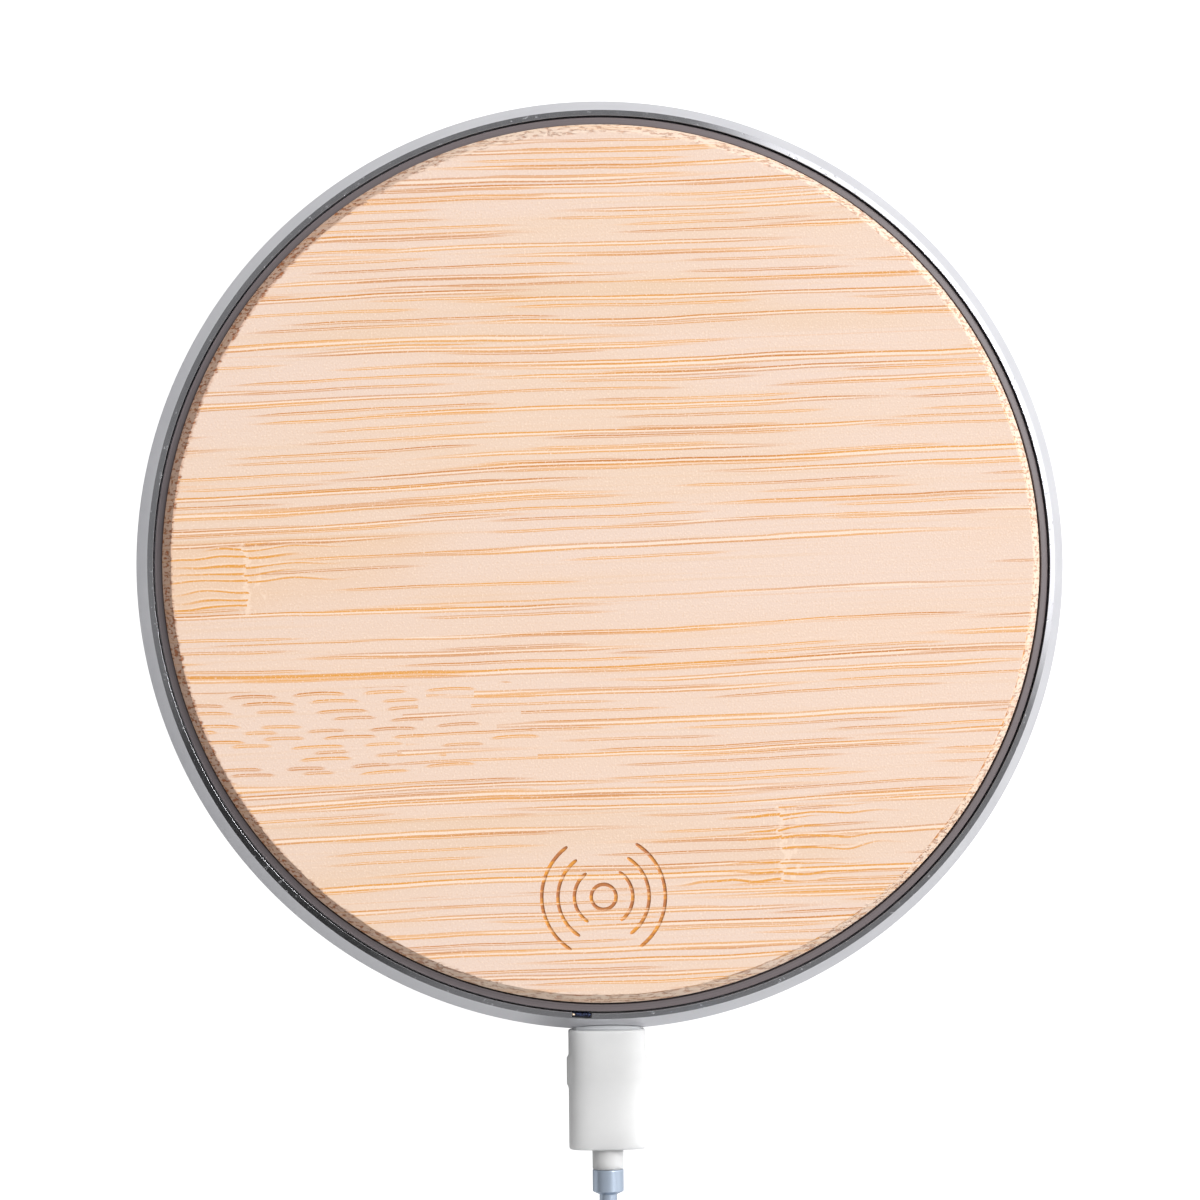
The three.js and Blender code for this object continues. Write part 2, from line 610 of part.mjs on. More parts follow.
function addPlug(cable) {
  const { width, height, wall, tipY, backY } = SHELL;
  const outer = alongY(usbOutline(width, height, PORT_Z), tipY, backY);
  const inner = alongY(usbOutline(width - 2 * wall, height - 2 * wall, PORT_Z), tipY + 1, backY - 1);
  add(cable, 'plug_shell', cut(outer, inner), tinned);
  const insulator = block(
    [-INSULATOR.halfWidth, backY + 0.3, PORT_Z + INSULATOR.low],
    [INSULATOR.halfWidth, tipY - 0.2, PORT_Z + INSULATOR.high],
  );
  add(cable, 'plug_insulator', insulator, blackPlastic);

  const section = stadium(OVERMOULD.width, OVERMOULD.height, PORT_Z);
  const body = roundedAlongY(section, OVERMOULD.frontY, OVERMOULD.backY, OVERMOULD.round);
  const noseOutline = ellipse(NOSE.width, NOSE.height, PORT_Z);
  const nose = alongY(noseOutline, NOSE.frontY, OVERMOULD.frontY - OVERMOULD.round - 1);
  const neck = turnedAboutPort([
    [0, OVERMOULD.backY + 1],
    [NECK_R, OVERMOULD.backY + 1],
    [NECK_R, NECK_END_Y],
    [0, NECK_END_Y],
  ]);
  const pocket = alongY(usbOutline(width + 0.1, height + 0.1, PORT_Z), tipY, backY - 0.1);
  add(cable, 'plug_overmould', cut(join(body, nose, neck), pocket), whitePlastic);

  const boot = turnedAboutPort([
    [0, NECK_END_Y - FIT],
    [NECK_R, NECK_END_Y - FIT],
    [NECK_R, BOOT_END_Y + BOOT_BEVEL],
    [CORD_D / 2 + 0.1, BOOT_END_Y],
    [0, BOOT_END_Y],
  ]);
  add(cable, 'plug_strain_relief', boot, blueGrey);
}

function addCord(cable) {
  add(cable, 'cord', tubeAlong(NEAR_ROUTE, CORD_D / 2, CORD_STEPS), blueGrey);
  add(cable, 'cord_tail', tubeAlong(FAR_ROUTE, CORD_D / 2, CORD_STEPS), blueGrey);
  const reach = ((COIL_TURNS_WIDE - 1) * COIL_PITCH + CORD_D) / 2;
  const top = COIL_Z + (COIL_TURNS_HIGH - 1) * COIL_PITCH + CORD_D;
  const inner = COIL_MEAN_R - reach;
  const outer = COIL_MEAN_R + reach;
  const coil = ring(inner, outer, COIL_Z, top, COIL_SEGMENTS);
  add(cable, 'cord_coil', coil, blueGrey).position.set(...COIL_CENTRE, 0);

  const half = TIE_WIDTH / 2;
  const hole = [Math.sqrt(inner ** 2 - half ** 2) - TIE_GAP, outer + TIE_GAP];
  const wall = TIE_THICKNESS;
  const sleeve = block([hole[0] - wall, -half, 0], [hole[1] + wall, half, top + TIE_GAP + wall]);
  const opening = block([hole[0], -half - 1, COIL_Z - TIE_GAP], [hole[1], half + 1, top + TIE_GAP]);
  add(cable, 'cord_tie', cut(sleeve, opening), blackPlastic).position.set(...COIL_CENTRE, 0);
}

// The large flat plug, along +X from the origin of its own group.
function addFarPlug(cable) {
  const plug = new THREE.Group();
  plug.position.set(...A_PLUG_AT);
  cable.add(plug);
  const towardX = (geometry) => geometry.rotateZ(Math.PI / 2);
  const bodyEnd = A_PLUG.bootLength + A_PLUG.bodyLength;
  const tip = bodyEnd + A_PLUG.shellLength;
  const boot = turned([
    [0, 0],
    [A_PLUG.bootR, 0],
    [A_PLUG.bootEndR, A_PLUG.bootLength - FIT],
    [0, A_PLUG.bootLength - FIT],
  ], SMALL_SEGMENTS).rotateY(Math.PI / 2);
  add(plug, 'usb_a_strain_relief', boot, blueGrey);
  const section = rectangle(A_PLUG.bodyWidth, A_PLUG.bodyHeight, 0);
  const body = roundedAlongY(section, -A_PLUG.bootLength, -bodyEnd, A_PLUG.bodyRound);
  add(plug, 'usb_a_overmould', towardX(body), whitePlastic);
  const { shellWidth, shellHeight, shellWall } = A_PLUG;
  const outer = alongY(rectangle(shellWidth, shellHeight, 0), -bodyEnd - FIT, -tip);
  const innerOutline = rectangle(shellWidth - 2 * shellWall, shellHeight - 2 * shellWall, 0);
  const hollow = alongY(innerOutline, -bodyEnd - 0.5, -tip - 1);
  add(plug, 'usb_a_shell', towardX(cut(outer, hollow)), tinned);
  const tongue = block(
    [-A_TONGUE.halfWidth, -tip + A_TONGUE.inset, A_TONGUE.bottom],
    [A_TONGUE.halfWidth, -bodyEnd - A_TONGUE.inset, 0],
  );
  add(plug, 'usb_a_insulator', towardX(tongue), blackPlastic);
}

const pad = new THREE.Group();
addCasing(pad);
addCoil(pad);
addBoard(pad);
addPort(pad);
addLightPipe(pad);

const cable = new THREE.Group();
addPlug(cable);
addCord(cable);
addFarPlug(cable);

const model = new THREE.Group();
model.add(pad, cable);
export default model;
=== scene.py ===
"""Wireless charging pad: a bamboo disc in a dark tray and an aluminium ring, with its USB cable plugged in.
Metres, +Z up. The pad stands on z = 0 with its axis on Z, and the cable leaves it along -Y."""
import json
import math
import random

import bmesh
import bpy
from mathutils import Matrix, Vector


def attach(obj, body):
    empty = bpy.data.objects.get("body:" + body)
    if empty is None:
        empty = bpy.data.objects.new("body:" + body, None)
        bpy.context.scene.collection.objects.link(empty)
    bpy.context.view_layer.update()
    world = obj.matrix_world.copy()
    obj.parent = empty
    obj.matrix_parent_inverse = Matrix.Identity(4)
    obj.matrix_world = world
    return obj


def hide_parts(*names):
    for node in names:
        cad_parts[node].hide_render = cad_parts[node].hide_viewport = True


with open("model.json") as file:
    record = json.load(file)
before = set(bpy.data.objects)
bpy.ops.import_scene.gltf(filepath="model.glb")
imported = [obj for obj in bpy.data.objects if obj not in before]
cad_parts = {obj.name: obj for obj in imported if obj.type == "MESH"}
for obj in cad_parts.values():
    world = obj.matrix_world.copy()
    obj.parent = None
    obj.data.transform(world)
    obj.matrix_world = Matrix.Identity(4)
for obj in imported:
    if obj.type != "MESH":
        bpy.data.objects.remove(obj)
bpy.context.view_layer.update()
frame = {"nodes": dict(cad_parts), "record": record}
NODES = frame["nodes"]
MM = 0.001
PORT_Z = 3.8  # mm, height of the port's axis


def srgb(*channels):
    """A colour given as a picture shows it, 0 to 255, as the linear values that shaders use."""
    linear = []
    for channel in channels:
        c = channel / 255
        linear.append(c / 12.92 if c <= 0.04045 else ((c + 0.055) / 1.055) ** 2.4)
    return tuple(linear)


# ---------------------------------------------------------------- the cord's route, in mm
CORD_D = 1.9
NEAR_ROUTE = [
    (0, -66.7, 3.8), (0, -68, 3.8), (0, -70, 3.76), (0, -72, 3.6), (0, -74, 3.22), (0, -76, 2.7),
    (0, -78, 2.2), (0, -79.9, 1.8), (0, -82, 1.5), (0, -84, 1.38),
]
FAR_ROUTE = [
    (17, -100.64, 6.75), (20, -100.64, 6.15), (23.4, -100.64, 5.3), (25.5, -100.64, 4.75),
    (28, -100.64, 4.1), (30.5, -100.64, 3.65), (32.7, -100.64, 3.5), (34.5, -100.64, 3.5),
]
COIL_CENTRE = (13.607, -88)
COIL_Z = 0.4
COIL_MEAN_R = 10.7
COIL_PITCH = 1.02 * CORD_D
COIL_LAYERS = (4, 4, 3, 3)  # turns in each layer, from the lowest up
STEPS_PER_TURN = 36
CROSSOVER = 0.16  # the share of a turn in which the cord steps to its next place
A_PLUG_AT = (33, -100.64, 3.5)

# ---------------------------------------------------------------- camera
CAMERA_TILT = (3.44, 1.1)  # degrees off the vertical, towards -X and -Y
CAMERA_ROLL = 0.545
CAMERA_DISTANCE = 446  # mm from the plane in which the pad is widest
CAMERA_PLANE_Z = 4
PICTURE_WIDTH = 129.36  # mm across the picture, in that plane
PICTURE_CENTRE = (-0.305, -3.845)


def make_camera():
    camera = bpy.data.objects.new("camera", bpy.data.cameras.new("camera"))
    bpy.context.scene.collection.objects.link(camera)
    tilt_x, tilt_y = (math.tan(math.radians(a)) for a in CAMERA_TILT)
    back = Vector((-tilt_x, -tilt_y, 1)).normalized()
    roll = math.radians(CAMERA_ROLL)
    up = Vector((math.sin(roll), math.cos(roll), 0))
    right = up.cross(back).normalized()
    up = back.cross(right)
    target = Vector((*PICTURE_CENTRE, CAMERA_PLANE_Z)) * MM
    turn = Matrix((right, up, back)).transposed().to_4x4()
    camera.matrix_world = Matrix.Translation(target + back * CAMERA_DISTANCE * MM) @ turn
    camera.data.sensor_width = 36
    camera.data.lens = 36 * CAMERA_DISTANCE / PICTURE_WIDTH
    camera.data.clip_start = 0.01
    camera.data.clip_end = 20
    bpy.context.scene.camera = camera


# ---------------------------------------------------------------- shader graphs
class Graph:
    """The nodes of a material or a world. Values passed to its methods are numbers, tuples or sockets."""

    def __init__(self, owner):
        owner.use_nodes = True
        self.owner = owner
        self.tree = owner.node_tree
        self.shader = self.tree.nodes.get("Principled BSDF")

    def plug(self, socket, value):
        if isinstance(value, bpy.types.NodeSocket):
            self.tree.links.new(value, socket)
        else:
            socket.default_value = value

    def add(self, kind, inputs=(), **settings):
        node = self.tree.nodes.new(kind)
        for key, value in settings.items():
            setattr(node, key, value)
        for socket, value in dict(inputs).items():
            self.plug(node.inputs[socket], value)
        return node

    def set(self, **values):
        """Sets the shader's sockets: base_color=... is the socket Base Color."""
        for key, value in values.items():
            name = " ".join(word.capitalize() for word in key.split("_")).replace("Ior", "IOR")
            self.plug(self.shader.inputs[name], value)
        return self.owner

    def math(self, operation, a, b=0.0, c=0.0):
        node = self.add("ShaderNodeMath", operation=operation)
        for socket, value in zip(node.inputs, (a, b, c)):
            self.plug(socket, value)
        return node.outputs[0]

    def times(self, a, b):
        return self.math("MULTIPLY", a, b)

    def plus(self, a, b):
        return self.math("ADD", a, b)

    def minus(self, a, b):
        return self.math("SUBTRACT", a, b)

    def over(self, a, b):
        return self.math("DIVIDE", a, b)

    def times_plus(self, a, b, c):
        """a * b + c"""
        return self.math("MULTIPLY_ADD", a, b, c)

    def invert(self, mask):
        return self.math("SUBTRACT", 1.0, mask)

    def absolute(self, a):
        return self.math("ABSOLUTE", a)

    def reach(self, x, y):
        """The distance of (x, y) from the origin."""
        return self.math("SQRT", self.times_plus(x, x, self.times(y, y)))

    def smooth(self, value, low, high):
        """0 below low, 1 above high, and a smooth step between them."""
        node = self.add("ShaderNodeMapRange", interpolation_type="SMOOTHSTEP")
        for socket, x in zip(node.inputs, (value, low, high, 0.0, 1.0)):
            self.plug(socket, x)
        return node.outputs[0]

    def place(self):
        """The point's x, y and z in mm."""
        coords = self.add("ShaderNodeTexCoord").outputs["Object"]
        scaled = self.add("ShaderNodeVectorMath", {0: coords, "Scale": 1 / MM}, operation="SCALE")
        return scaled.outputs[0]

    def split(self, vector):
        return self.add("ShaderNodeSeparateXYZ", {0: vector}).outputs

    def join(self, x, y, z=0.0):
        return self.add("ShaderNodeCombineXYZ", {0: x, 1: y, 2: z}).outputs[0]

    def stretch(self, vector, scale):
        node = self.add("ShaderNodeVectorMath", {0: vector, 1: scale}, operation="MULTIPLY")
        return node.outputs[0]

    def noise(self, vector, scale, detail=2.0, roughness=0.5):
        inputs = {"Vector": vector, "Scale": scale, "Detail": detail, "Roughness": roughness}
        return self.add("ShaderNodeTexNoise", inputs).outputs[0]

    def random(self, vector):
        node = self.add("ShaderNodeTexWhiteNoise", {"Vector": vector}, noise_dimensions="3D")
        return node.outputs["Value"]

    def ramp(self, value, *stops, interpolation="LINEAR"):
        node = self.add("ShaderNodeValToRGB", {0: value})
        node.color_ramp.interpolation = interpolation
        elements = node.color_ramp.elements
        while len(elements) < len(stops):
            elements.new(0.5)
        for element, (at, color) in zip(elements, stops):
            element.position = at
            element.color = (*color, 1)
        return node.outputs[0]

    def steps(self, value, starts, low=-60, high=60):
        """The colour of the last start that lies below value."""
        scaled = self.over(self.minus(value, low), high - low)
        stops = [((at - low) / (high - low), color) for at, color in starts]
        return self.ramp(scaled, *stops, interpolation="CONSTANT")

    def mix(self, factor, a, b):
        node = self.add("ShaderNodeMix", data_type="RGBA", clamp_factor=True)
        for index, value in ((0, factor), (6, a), (7, b)):
            self.plug(node.inputs[index], value if not isinstance(value, tuple) else (*value, 1))
        return node.outputs[2]

    def bump(self, height, distance_mm, strength=1.0):
        inputs = {"Height": height, "Distance": distance_mm * MM, "Strength": strength}
        return self.add("ShaderNodeBump", inputs).outputs[0]


def material_graph(name):
    return Graph(bpy.data.materials.new(name))


def varied(graph, colour, amount, scale):
    """A colour that drifts a little lighter and darker over the surface."""
    drift = graph.noise(graph.place(), scale, 3)
    low = tuple(c * (1 - amount) for c in colour)
    high = tuple(min(1, c * (1 + amount)) for c in colour)
    return graph.ramp(drift, (0.3, low), (0.7, high))


def moulded(name, colour, roughness, grain_mm=0.12, depth=0.01, amount=0.04, **extra):
    """Moulded plastic or rubber: a fine even texture with a slight drift in colour and gloss."""
    graph = material_graph(name)
    place = graph.place()
    fine = graph.noise(place, 1 / grain_mm, 2)
    drift = graph.noise(place, 0.15, 3)
    gloss = graph.times_plus(drift, 0.12, roughness - 0.06)
    graph.set(base_color=varied(graph, colour, amount, 0.2), roughness=gloss)
    graph.set(normal=graph.bump(fine, depth), **extra)
    return graph.owner


def metal(name, colour, roughness, grain_mm=0.1, depth=0.002, amount=0.05):
    graph = material_graph(name)
    place = graph.place()
    fine = graph.noise(place, 1 / grain_mm, 3)
    gloss = graph.times_plus(graph.noise(place, 0.4, 3), 0.14, roughness - 0.07)
    graph.set(base_color=varied(graph, colour, amount, 0.3), metallic=1.0, roughness=gloss)
    graph.set(normal=graph.bump(fine, depth))
    return graph.owner


# ---------------------------------------------------------------- mesh helpers
def mesh_object(name, verts, faces, material, sharp=35):
    """A piece from vertices in mm; edges that turn by more than sharp degrees stay crisp."""
    mesh = bpy.data.meshes.new(name)
    mesh.from_pydata([tuple(c * MM for c in v) for v in verts], [], faces)
    mesh.validate()
    work = bmesh.new()
    work.from_mesh(mesh)
    bmesh.ops.remove_doubles(work, verts=work.verts, dist=1e-7)
    bmesh.ops.recalc_face_normals(work, faces=work.faces)
    work.to_mesh(mesh)
    work.free()
    piece = bpy.data.objects.new(name, mesh)
    bpy.context.scene.collection.objects.link(piece)
    mesh.materials.append(MATERIALS[material])
    shade(piece, sharp)
    return piece


def shade(piece, sharp=35):
    piece.data.polygons.foreach_set("use_smooth", [True] * len(piece.data.polygons))
    piece.data.set_sharp_from_angle(angle=math.radians(sharp))


ARC_STEP = math.radians(9)  # the turn between two points of a rounded corner
SUPPORT = 0.03  # mm from a corner's end to the extra point that keeps the flat beside it flat


def rounded(corners, closed=True):
    """An outline through (a, b, radius) corners, each turned into an arc of that radius."""
    count = len(corners)
    outline = []
    for i, (a, b, radius) in enumerate(corners):
        here = Vector((a, b))
        ends = not closed and i in (0, count - 1)
        if radius <= 0 or ends:
            outline.append((a, b))
            continue
        before = (Vector(corners[i - 1][:2]) - here).normalized()
        after = (Vector(corners[(i + 1) % count][:2]) - here).normalized()
        half = before.angle(after) / 2
        reach = radius / math.tan(half)
        middle = here + (before + after).normalized() * radius / math.sin(half)
        start = here + before * reach - middle
        sweep = start.angle_signed(here + after * reach - middle)
        steps = max(2, math.ceil(abs(sweep) / ARC_STEP))
        if reach + SUPPORT < (Vector(corners[i - 1][:2]) - here).length / 2:
            outline.append(tuple(here + before * (reach + SUPPORT)))
        for k in range(steps + 1):
            turn = Matrix.Rotation(-sweep * k / steps, 2)
            outline.append(tuple(middle + turn @ start))
        if reach + SUPPORT < (Vector(corners[(i + 1) % count][:2]) - here).length / 2:
            outline.append(tuple(here + after * (reach + SUPPORT)))
    return outline


def lathe(name, profile, material, segments=288, sharp=35):
    """Turns (r, z) points about Z; a profile that isn't on the axis at both ends is closed on itself."""
    on_axis = abs(profile[0][0]) < 1e-6 and abs(profile[-1][0]) < 1e-6
    verts = []
    for i in range(segments):
        c, s = math.cos(2 * math.pi * i / segments), math.sin(2 * math.pi * i / segments)
        verts += [(r * c, r * s, z) for r, z in profile]
    count = len(profile)
    faces = []
    for i in range(segments):
        j = (i + 1) % segments
        for k in range(count - 1 if on_axis else count):
            m = (k + 1) % count
            faces.append((i * count + k, j * count + k, j * count + m, i * count + m))
    return mesh_object(name, verts, faces, material, sharp)


def loft(name, rings, material, looped=False):
    """Joins rings of points one after another, then closes both ends or joins the last to the first."""
    count = len(rings[0])
    verts = [point for ring in rings for point in ring]
    faces = []
    for i in range(len(rings) if looped else len(rings) - 1):
        j = (i + 1) % len(rings)
        for k in range(count):
            m = (k + 1) % count
            faces.append((i * count + k, i * count + m, j * count + m, j * count + k))
    if not looped:
        faces.append(tuple(range(count))[::-1])
        faces.append(tuple((len(rings) - 1) * count + k for k in range(count)))
    return mesh_object(name, verts, faces, material)


def carve(piece, *tools, sharp=35):
    """Cuts the tools out of the piece and removes them."""
    for tool in tools:
        cut = piece.modifiers.new("cut", "BOOLEAN")
        cut.operation = "DIFFERENCE"
        cut.solver = "EXACT"
        cut.object = tool
    bake_modifiers(piece)
    for tool in tools:
        bpy.data.objects.remove(tool)
    shade(piece, sharp)
    return piece


def bake_modifiers(piece):
    graph = bpy.context.evaluated_depsgraph_get()
    mesh = bpy.data.meshes.new_from_object(piece.evaluated_get(graph))
    piece.modifiers.clear()
    piece.data = mesh


def box_tool(low, high, turn_deg=0):
    xs, ys, zs = zip(low, high)
    verts = [(x, y, z) for x in xs for y in ys for z in zs]
    faces = [(0, 1, 3, 2), (4, 6, 7, 5), (0, 4, 5, 1), (2, 3, 7, 6), (0, 2, 6, 4), (1, 5, 7, 3)]
    return put(mesh_object("tool", verts, faces, "black_plastic"), turn_deg=turn_deg)


def put(piece, at=(0, 0, 0), turn_deg=0, axis="Z"):
    """Turns a piece about an axis through the origin, then moves it by a distance in mm."""
    shift = Matrix.Translation(Vector(at) * MM)
    piece.data.transform(shift @ Matrix.Rotation(math.radians(turn_deg), 4, axis))
    return piece


def stand_for(piece, slot, *nodes, body="pad"):
    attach(piece, body)
    if nodes:
        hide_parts(*nodes)
    return piece


# ---------------------------------------------------------------- dimensions of the pieces, in mm
TURNED_STEPS = 360  # segments round the pad's axis

# wooden disc: it sits a little off the middle of its tray
WOOD_SHIFT = (-0.1, 0.08, 0)
WOOD_R = 47.0
WOOD_TOP_R = 46.1
WOOD_Z = 6.5
WOOD_CHAMFER_Z = 7.6
WOOD_TOP_Z = 8.6
WOOD_RAGGED = 0.1  # how far the sanded top edge strays from a true circle

# symbol engraved in the wood
SYMBOL_AT = (-0.4, -35.65)
SYMBOL_TURN_DEG = 1.8
SYMBOL_HALF_WIDTH = 0.2
SYMBOL_DEPTH = 0.12
SYMBOL_CIRCLE_R = 1.33
SYMBOL_ARC_R = (3.12, 4.87, 6.6)
SYMBOL_HALF_DEG = 56.5

# bamboo: the grain runs nearly along X, and the strips' seams lie along it
GRAIN_DEG = 2.0
WOOD_PALE = srgb(226, 201, 185)
WOOD_CREAM = srgb(243, 219, 198)
WOOD_TAN = srgb(224, 189, 156)
WOOD_LINE = srgb(220, 150, 56)
WOOD_BROWN = srgb(194, 120, 40)
# brown of the chamfer's end grain, also used as painted shade on its left side
WOOD_END_AND_SHADE = srgb(172, 104, 62)
WOOD_SCORCHED = srgb(178, 112, 62)
# glued strips: lower edge at the middle of the disc, tone, and the share of lanes that hold a long fibre
STRIPS = (
    (-60, srgb(226, 198, 175), 0.8),
    (-35, srgb(224, 194, 168), 0.3),
    (-26.6, srgb(227, 200, 181), 0.9),
    (-7.2, srgb(226, 199, 180), 0.15),
    (-4.1, srgb(225, 193, 166), 0.3),
    (3.9, srgb(226, 199, 178), 0.85),
    (23.5, srgb(223, 192, 163), 0.6),
    (30, srgb(226, 198, 175), 0.9),
)
# fibres: distance between lanes, length of a cell, half the gap and half the width of the lines, arching
FIBRES = {
    "bundles": {"pitch": 2.9, "length": 130, "spread": 0.24, "half": 0.075, "bow": 0.0},
    "pairs": {"pitch": 1.6, "length": 72, "spread": 0.17, "half": 0.06, "bow": 0.0},
    "threads": {"pitch": 1.05, "length": 34, "spread": 0.09, "half": 0.04, "bow": 0.0},
    "dashes": {"pitch": 0.76, "length": 7.0, "spread": 0.1, "half": 0.055, "bow": 0.9},
}
DASHES_V = (-21.5, -12.3)
DASHES_END = -10  # along the grain
# the cane's joints: place along the grain and the edges of the strip that each lies in
CANE_JOINTS = ((-38.2, -4.1, 3.9), (17.6, -35, -26.6))
JOINT_PITCH = 0.9  # between the lanes of a joint's lines
JOINT_SHARE = 0.68  # of the lanes hold a line
JOINT_WOBBLE = 3.2  # how far the ridge strays along the grain

# ring, tray and base, as (radius, height, rounding)
RING_PROFILE = (
    (46.6, 1.5, 0.1), (48.2, 1.5, 0.25), (50.08, 4.2, 0.5), (48.72, 6.95, 0.04),
    (48.08, 7.45, 0.02), (48.08, 4.9, 0), (46.6, 4.9, 0),
)
TRAY_PROFILE = (
    (0, 5.5, 0), (45.3, 5.5, 0.2), (45.3, 3.9, 0.15), (46.4, 3.9, 0.15), (46.4, 4.95, 0.1),
    (47.9, 4.95, 0.1), (47.9, 7.05, 0.1), (47.12, 7.35, 0.08), (47.12, 6.3, 0.1), (0, 6.3, 0),
)
COVER_PROFILE = (
    (0, 0.6, 0), (35.85, 0.6, 0.12), (35.85, 1.2, 0.1), (42.15, 1.2, 0.1), (42.15, 0.6, 0.12),
    (47.6, 0.6, 0.3), (47.6, 1.4, 0.12), (46.4, 1.4, 0.1), (46.4, 2.2, 0.15), (0, 2.2, 0),
)
FOOT_PROFILE = ((36, 0, 0.3), (42, 0, 0.3), (42, 1.1, 0.1), (36, 1.1, 0.1))
BEVEL_Z = 6.95  # the ring is polished above this height and satin below it

WIRE_PITCH = 1.14  # of the transmit coil's turns
SCREW_PLACES = [(39 * math.cos(math.radians(a)), 39 * math.sin(math.radians(a))) for a in (45, 135, 225, 315)]
PORT_SLOT = (8.5, 2.9)
PORT_OVAL = (8.1, 3.4)
LAMP_DEG = -3.4  # the lamp window's place, from the port's axis
LAMP_DOT = {"deg": -4.43, "reach": 48.26, "z": 7.2, "r": 0.13, "rise": 0.6, "steps": 6}
# blocks cut out of the ring and the tray, each as two opposite corners
RING_LAMP_CUT = ((-1.05, -48.6, 5.45), (1.05, -45, 9))
TRAY_PORT_CUT = ((-4.6, -50, 1), (4.6, -41, 5.75))
TRAY_LAMP_CUT = ((-1.1, -50, 1), (1.1, -39.5, 6))
RING_CUT_Y = (-45, -51)  # where the port's cutters start and end
BOSS_PROFILE = ((1.15, 2.9, 0.1), (2.6, 2.9, 0.1), (2.6, 5.45, 0), (1.15, 5.45, 0))
WELL_PROFILE = ((0, 0), (1.8, 0), (1.8, 2.1), (1.15, 2.1), (1.15, 4), (0, 4))
LIGHT_PIPE = (  # seen from the side, as (y, z, rounding)
    (-39.8, 4.35, 0.1), (-39.8, 5.95, 0.2), (-48.12, 5.95, 0.1), (-48.12, 7.35, 0.06),
    (-48.45, 7.07, 0.06), (-48.45, 5.55, 0.15), (-41.2, 5.55, 0.1), (-41.2, 4.35, 0.1),
)

# plug and socket on the port's axis
SOCKET = {"width": 7.5, "height": 2.5, "wall": 0.25, "front": -47.3, "back": -41.8}
SHELL = {"width": 6.8, "height": 1.76, "wall": 0.22, "front": -42.9, "back": -55.8}
PLUG = {"width": 8.28, "height": 4.8, "front": -50.05, "back": -62.8, "round": 0.14, "power": 3.2}
NOSE = {"width": 7.9, "height": 3.2, "front": -49.3, "groove": 0.1, "soft": 0.05, "step": 0.06}
# the pocket for the shell: how much wider it is than the shell, and its cutter's start and end in the nose
POCKET = {"gap": 0.1, "front": -49, "nose_back": -51}
PORT_RECESS = -47.9  # the port is oval outside this depth
GRIP = {"middle": -54.5, "reach": 1.75, "height": 1.5, "depth": 0.2}
NECK_R = 1.67
NECK_END = -65.02
BOOT_END = -67.7

# the large plug, along its own length, and the tie round the wound cord
A_BOOT = {"length": 7, "start_r": 1.5, "end_r": 2.3, "grooves": 5}
A_GRIP = {"width": 15, "height": 7, "length": 19, "round": 0.8, "corner": 1.1, "margin": 1.6, "fade": 0.6,
          "first": 2.5, "last": 10, "grooves": 5, "depth": 0.3}
A_SHELL = {"width": 12, "height": 4.5, "wall": 0.3, "length": 12.5, "corner": 0.45,
           "hole": 2.2, "hole_at": 5.2, "hole_x": 2.8, "tongue_half": 5.4, "tongue_low": -1.85}
A_CONTACTS = ((-3.5, 7.8), (-1, 6.8), (1, 6.8), (3.5, 7.8))  # place and length of each
TIE_LOOP = {"inner": 6.5, "outer": 14.8, "top": 8.36, "corner": 0.9,
            "half_thickness": 0.16, "half_width": 1.6}
TIE_TAIL = {"length": 7, "twisted": 0.62, "turns": 2.5, "radius": 0.22,
            "half_width": 0.8, "height": 2.2, "drop": 1.2, "spread": 1.8, "steps": 64}
# half of the tie's section: the share of its half width, and its half thickness there
TIE_SECTION = [(-1, 0.03), (-0.96, 0.08), (-0.25, 0.09), (-0.12, 0.15),
               (0.12, 0.15), (0.25, 0.09), (0.96, 0.08), (1, 0.03)]


# ---------------------------------------------------------------- materials
def band(graph, value, low, high, soft):
    """1 between low and high, falling to 0 over soft on both sides."""
    rise = graph.smooth(value, low - soft, low)
    fall = graph.smooth(value, high, high + soft)
    return graph.minus(rise, fall)


def line(graph, distance, half, soft):
    """1 within half of a line at distance 0, falling to 0 over soft."""
    return graph.invert(graph.smooth(graph.absolute(distance), half, half + soft))


def fibres(graph, u, v, kind, share, seed):
    """Bamboo fibres in lanes along the grain, each lane cut into cells, for a share of the cells.
    Returns two masks: the dark edges on both sides of each fibre and the pale core between them."""
    pitch, length, spread = kind["pitch"], kind["length"], kind["spread"]
    lane = graph.math("FLOOR", graph.over(v, pitch))
    slide = graph.random(graph.join(lane, seed, 3.1))
    along = graph.times_plus(slide, 7, graph.over(u, length))
    cell = graph.math("FLOOR", along)
    chance = graph.random(graph.join(lane, cell, seed))
    place = graph.random(graph.join(cell, lane, graph.plus(seed, 5.3)))
    lean = graph.random(graph.join(lane, cell, graph.plus(seed, 9.7)))
    part = graph.minus(graph.math("FRACT", along), 0.5)
    half = graph.times_plus(place, 0.2, 0.28)
    taper = graph.smooth(graph.minus(half, graph.absolute(part)), 0.0, 0.16)
    centre = graph.times_plus(lean, 0.5, 0.25)
    across = graph.minus(graph.math("FRACT", graph.over(v, pitch)), centre)
    across = graph.times(across, pitch)
    across = graph.times_plus(graph.times(part, part), kind["bow"], across)
    here = graph.times(graph.math("LESS_THAN", chance, share), taper)
    gap = graph.times(here, spread)
    off = graph.minus(graph.absolute(across), gap)
    side = graph.smooth(graph.times(across, graph.minus(place, 0.5)), -0.02, 0.02)
    strength = graph.times_plus(side, graph.times_plus(place, 0.25, 0.15), 0.6)
    edge = graph.times(line(graph, off, kind["half"], 0.035), strength)
    core = line(graph, across, spread * 0.35, spread * 0.5)
    return graph.times(edge, here), graph.times(core, here)


def union(graph, masks):
    total = masks[0]
    for mask in masks[1:]:
        total = graph.math("MAXIMUM", total, mask)
    return total


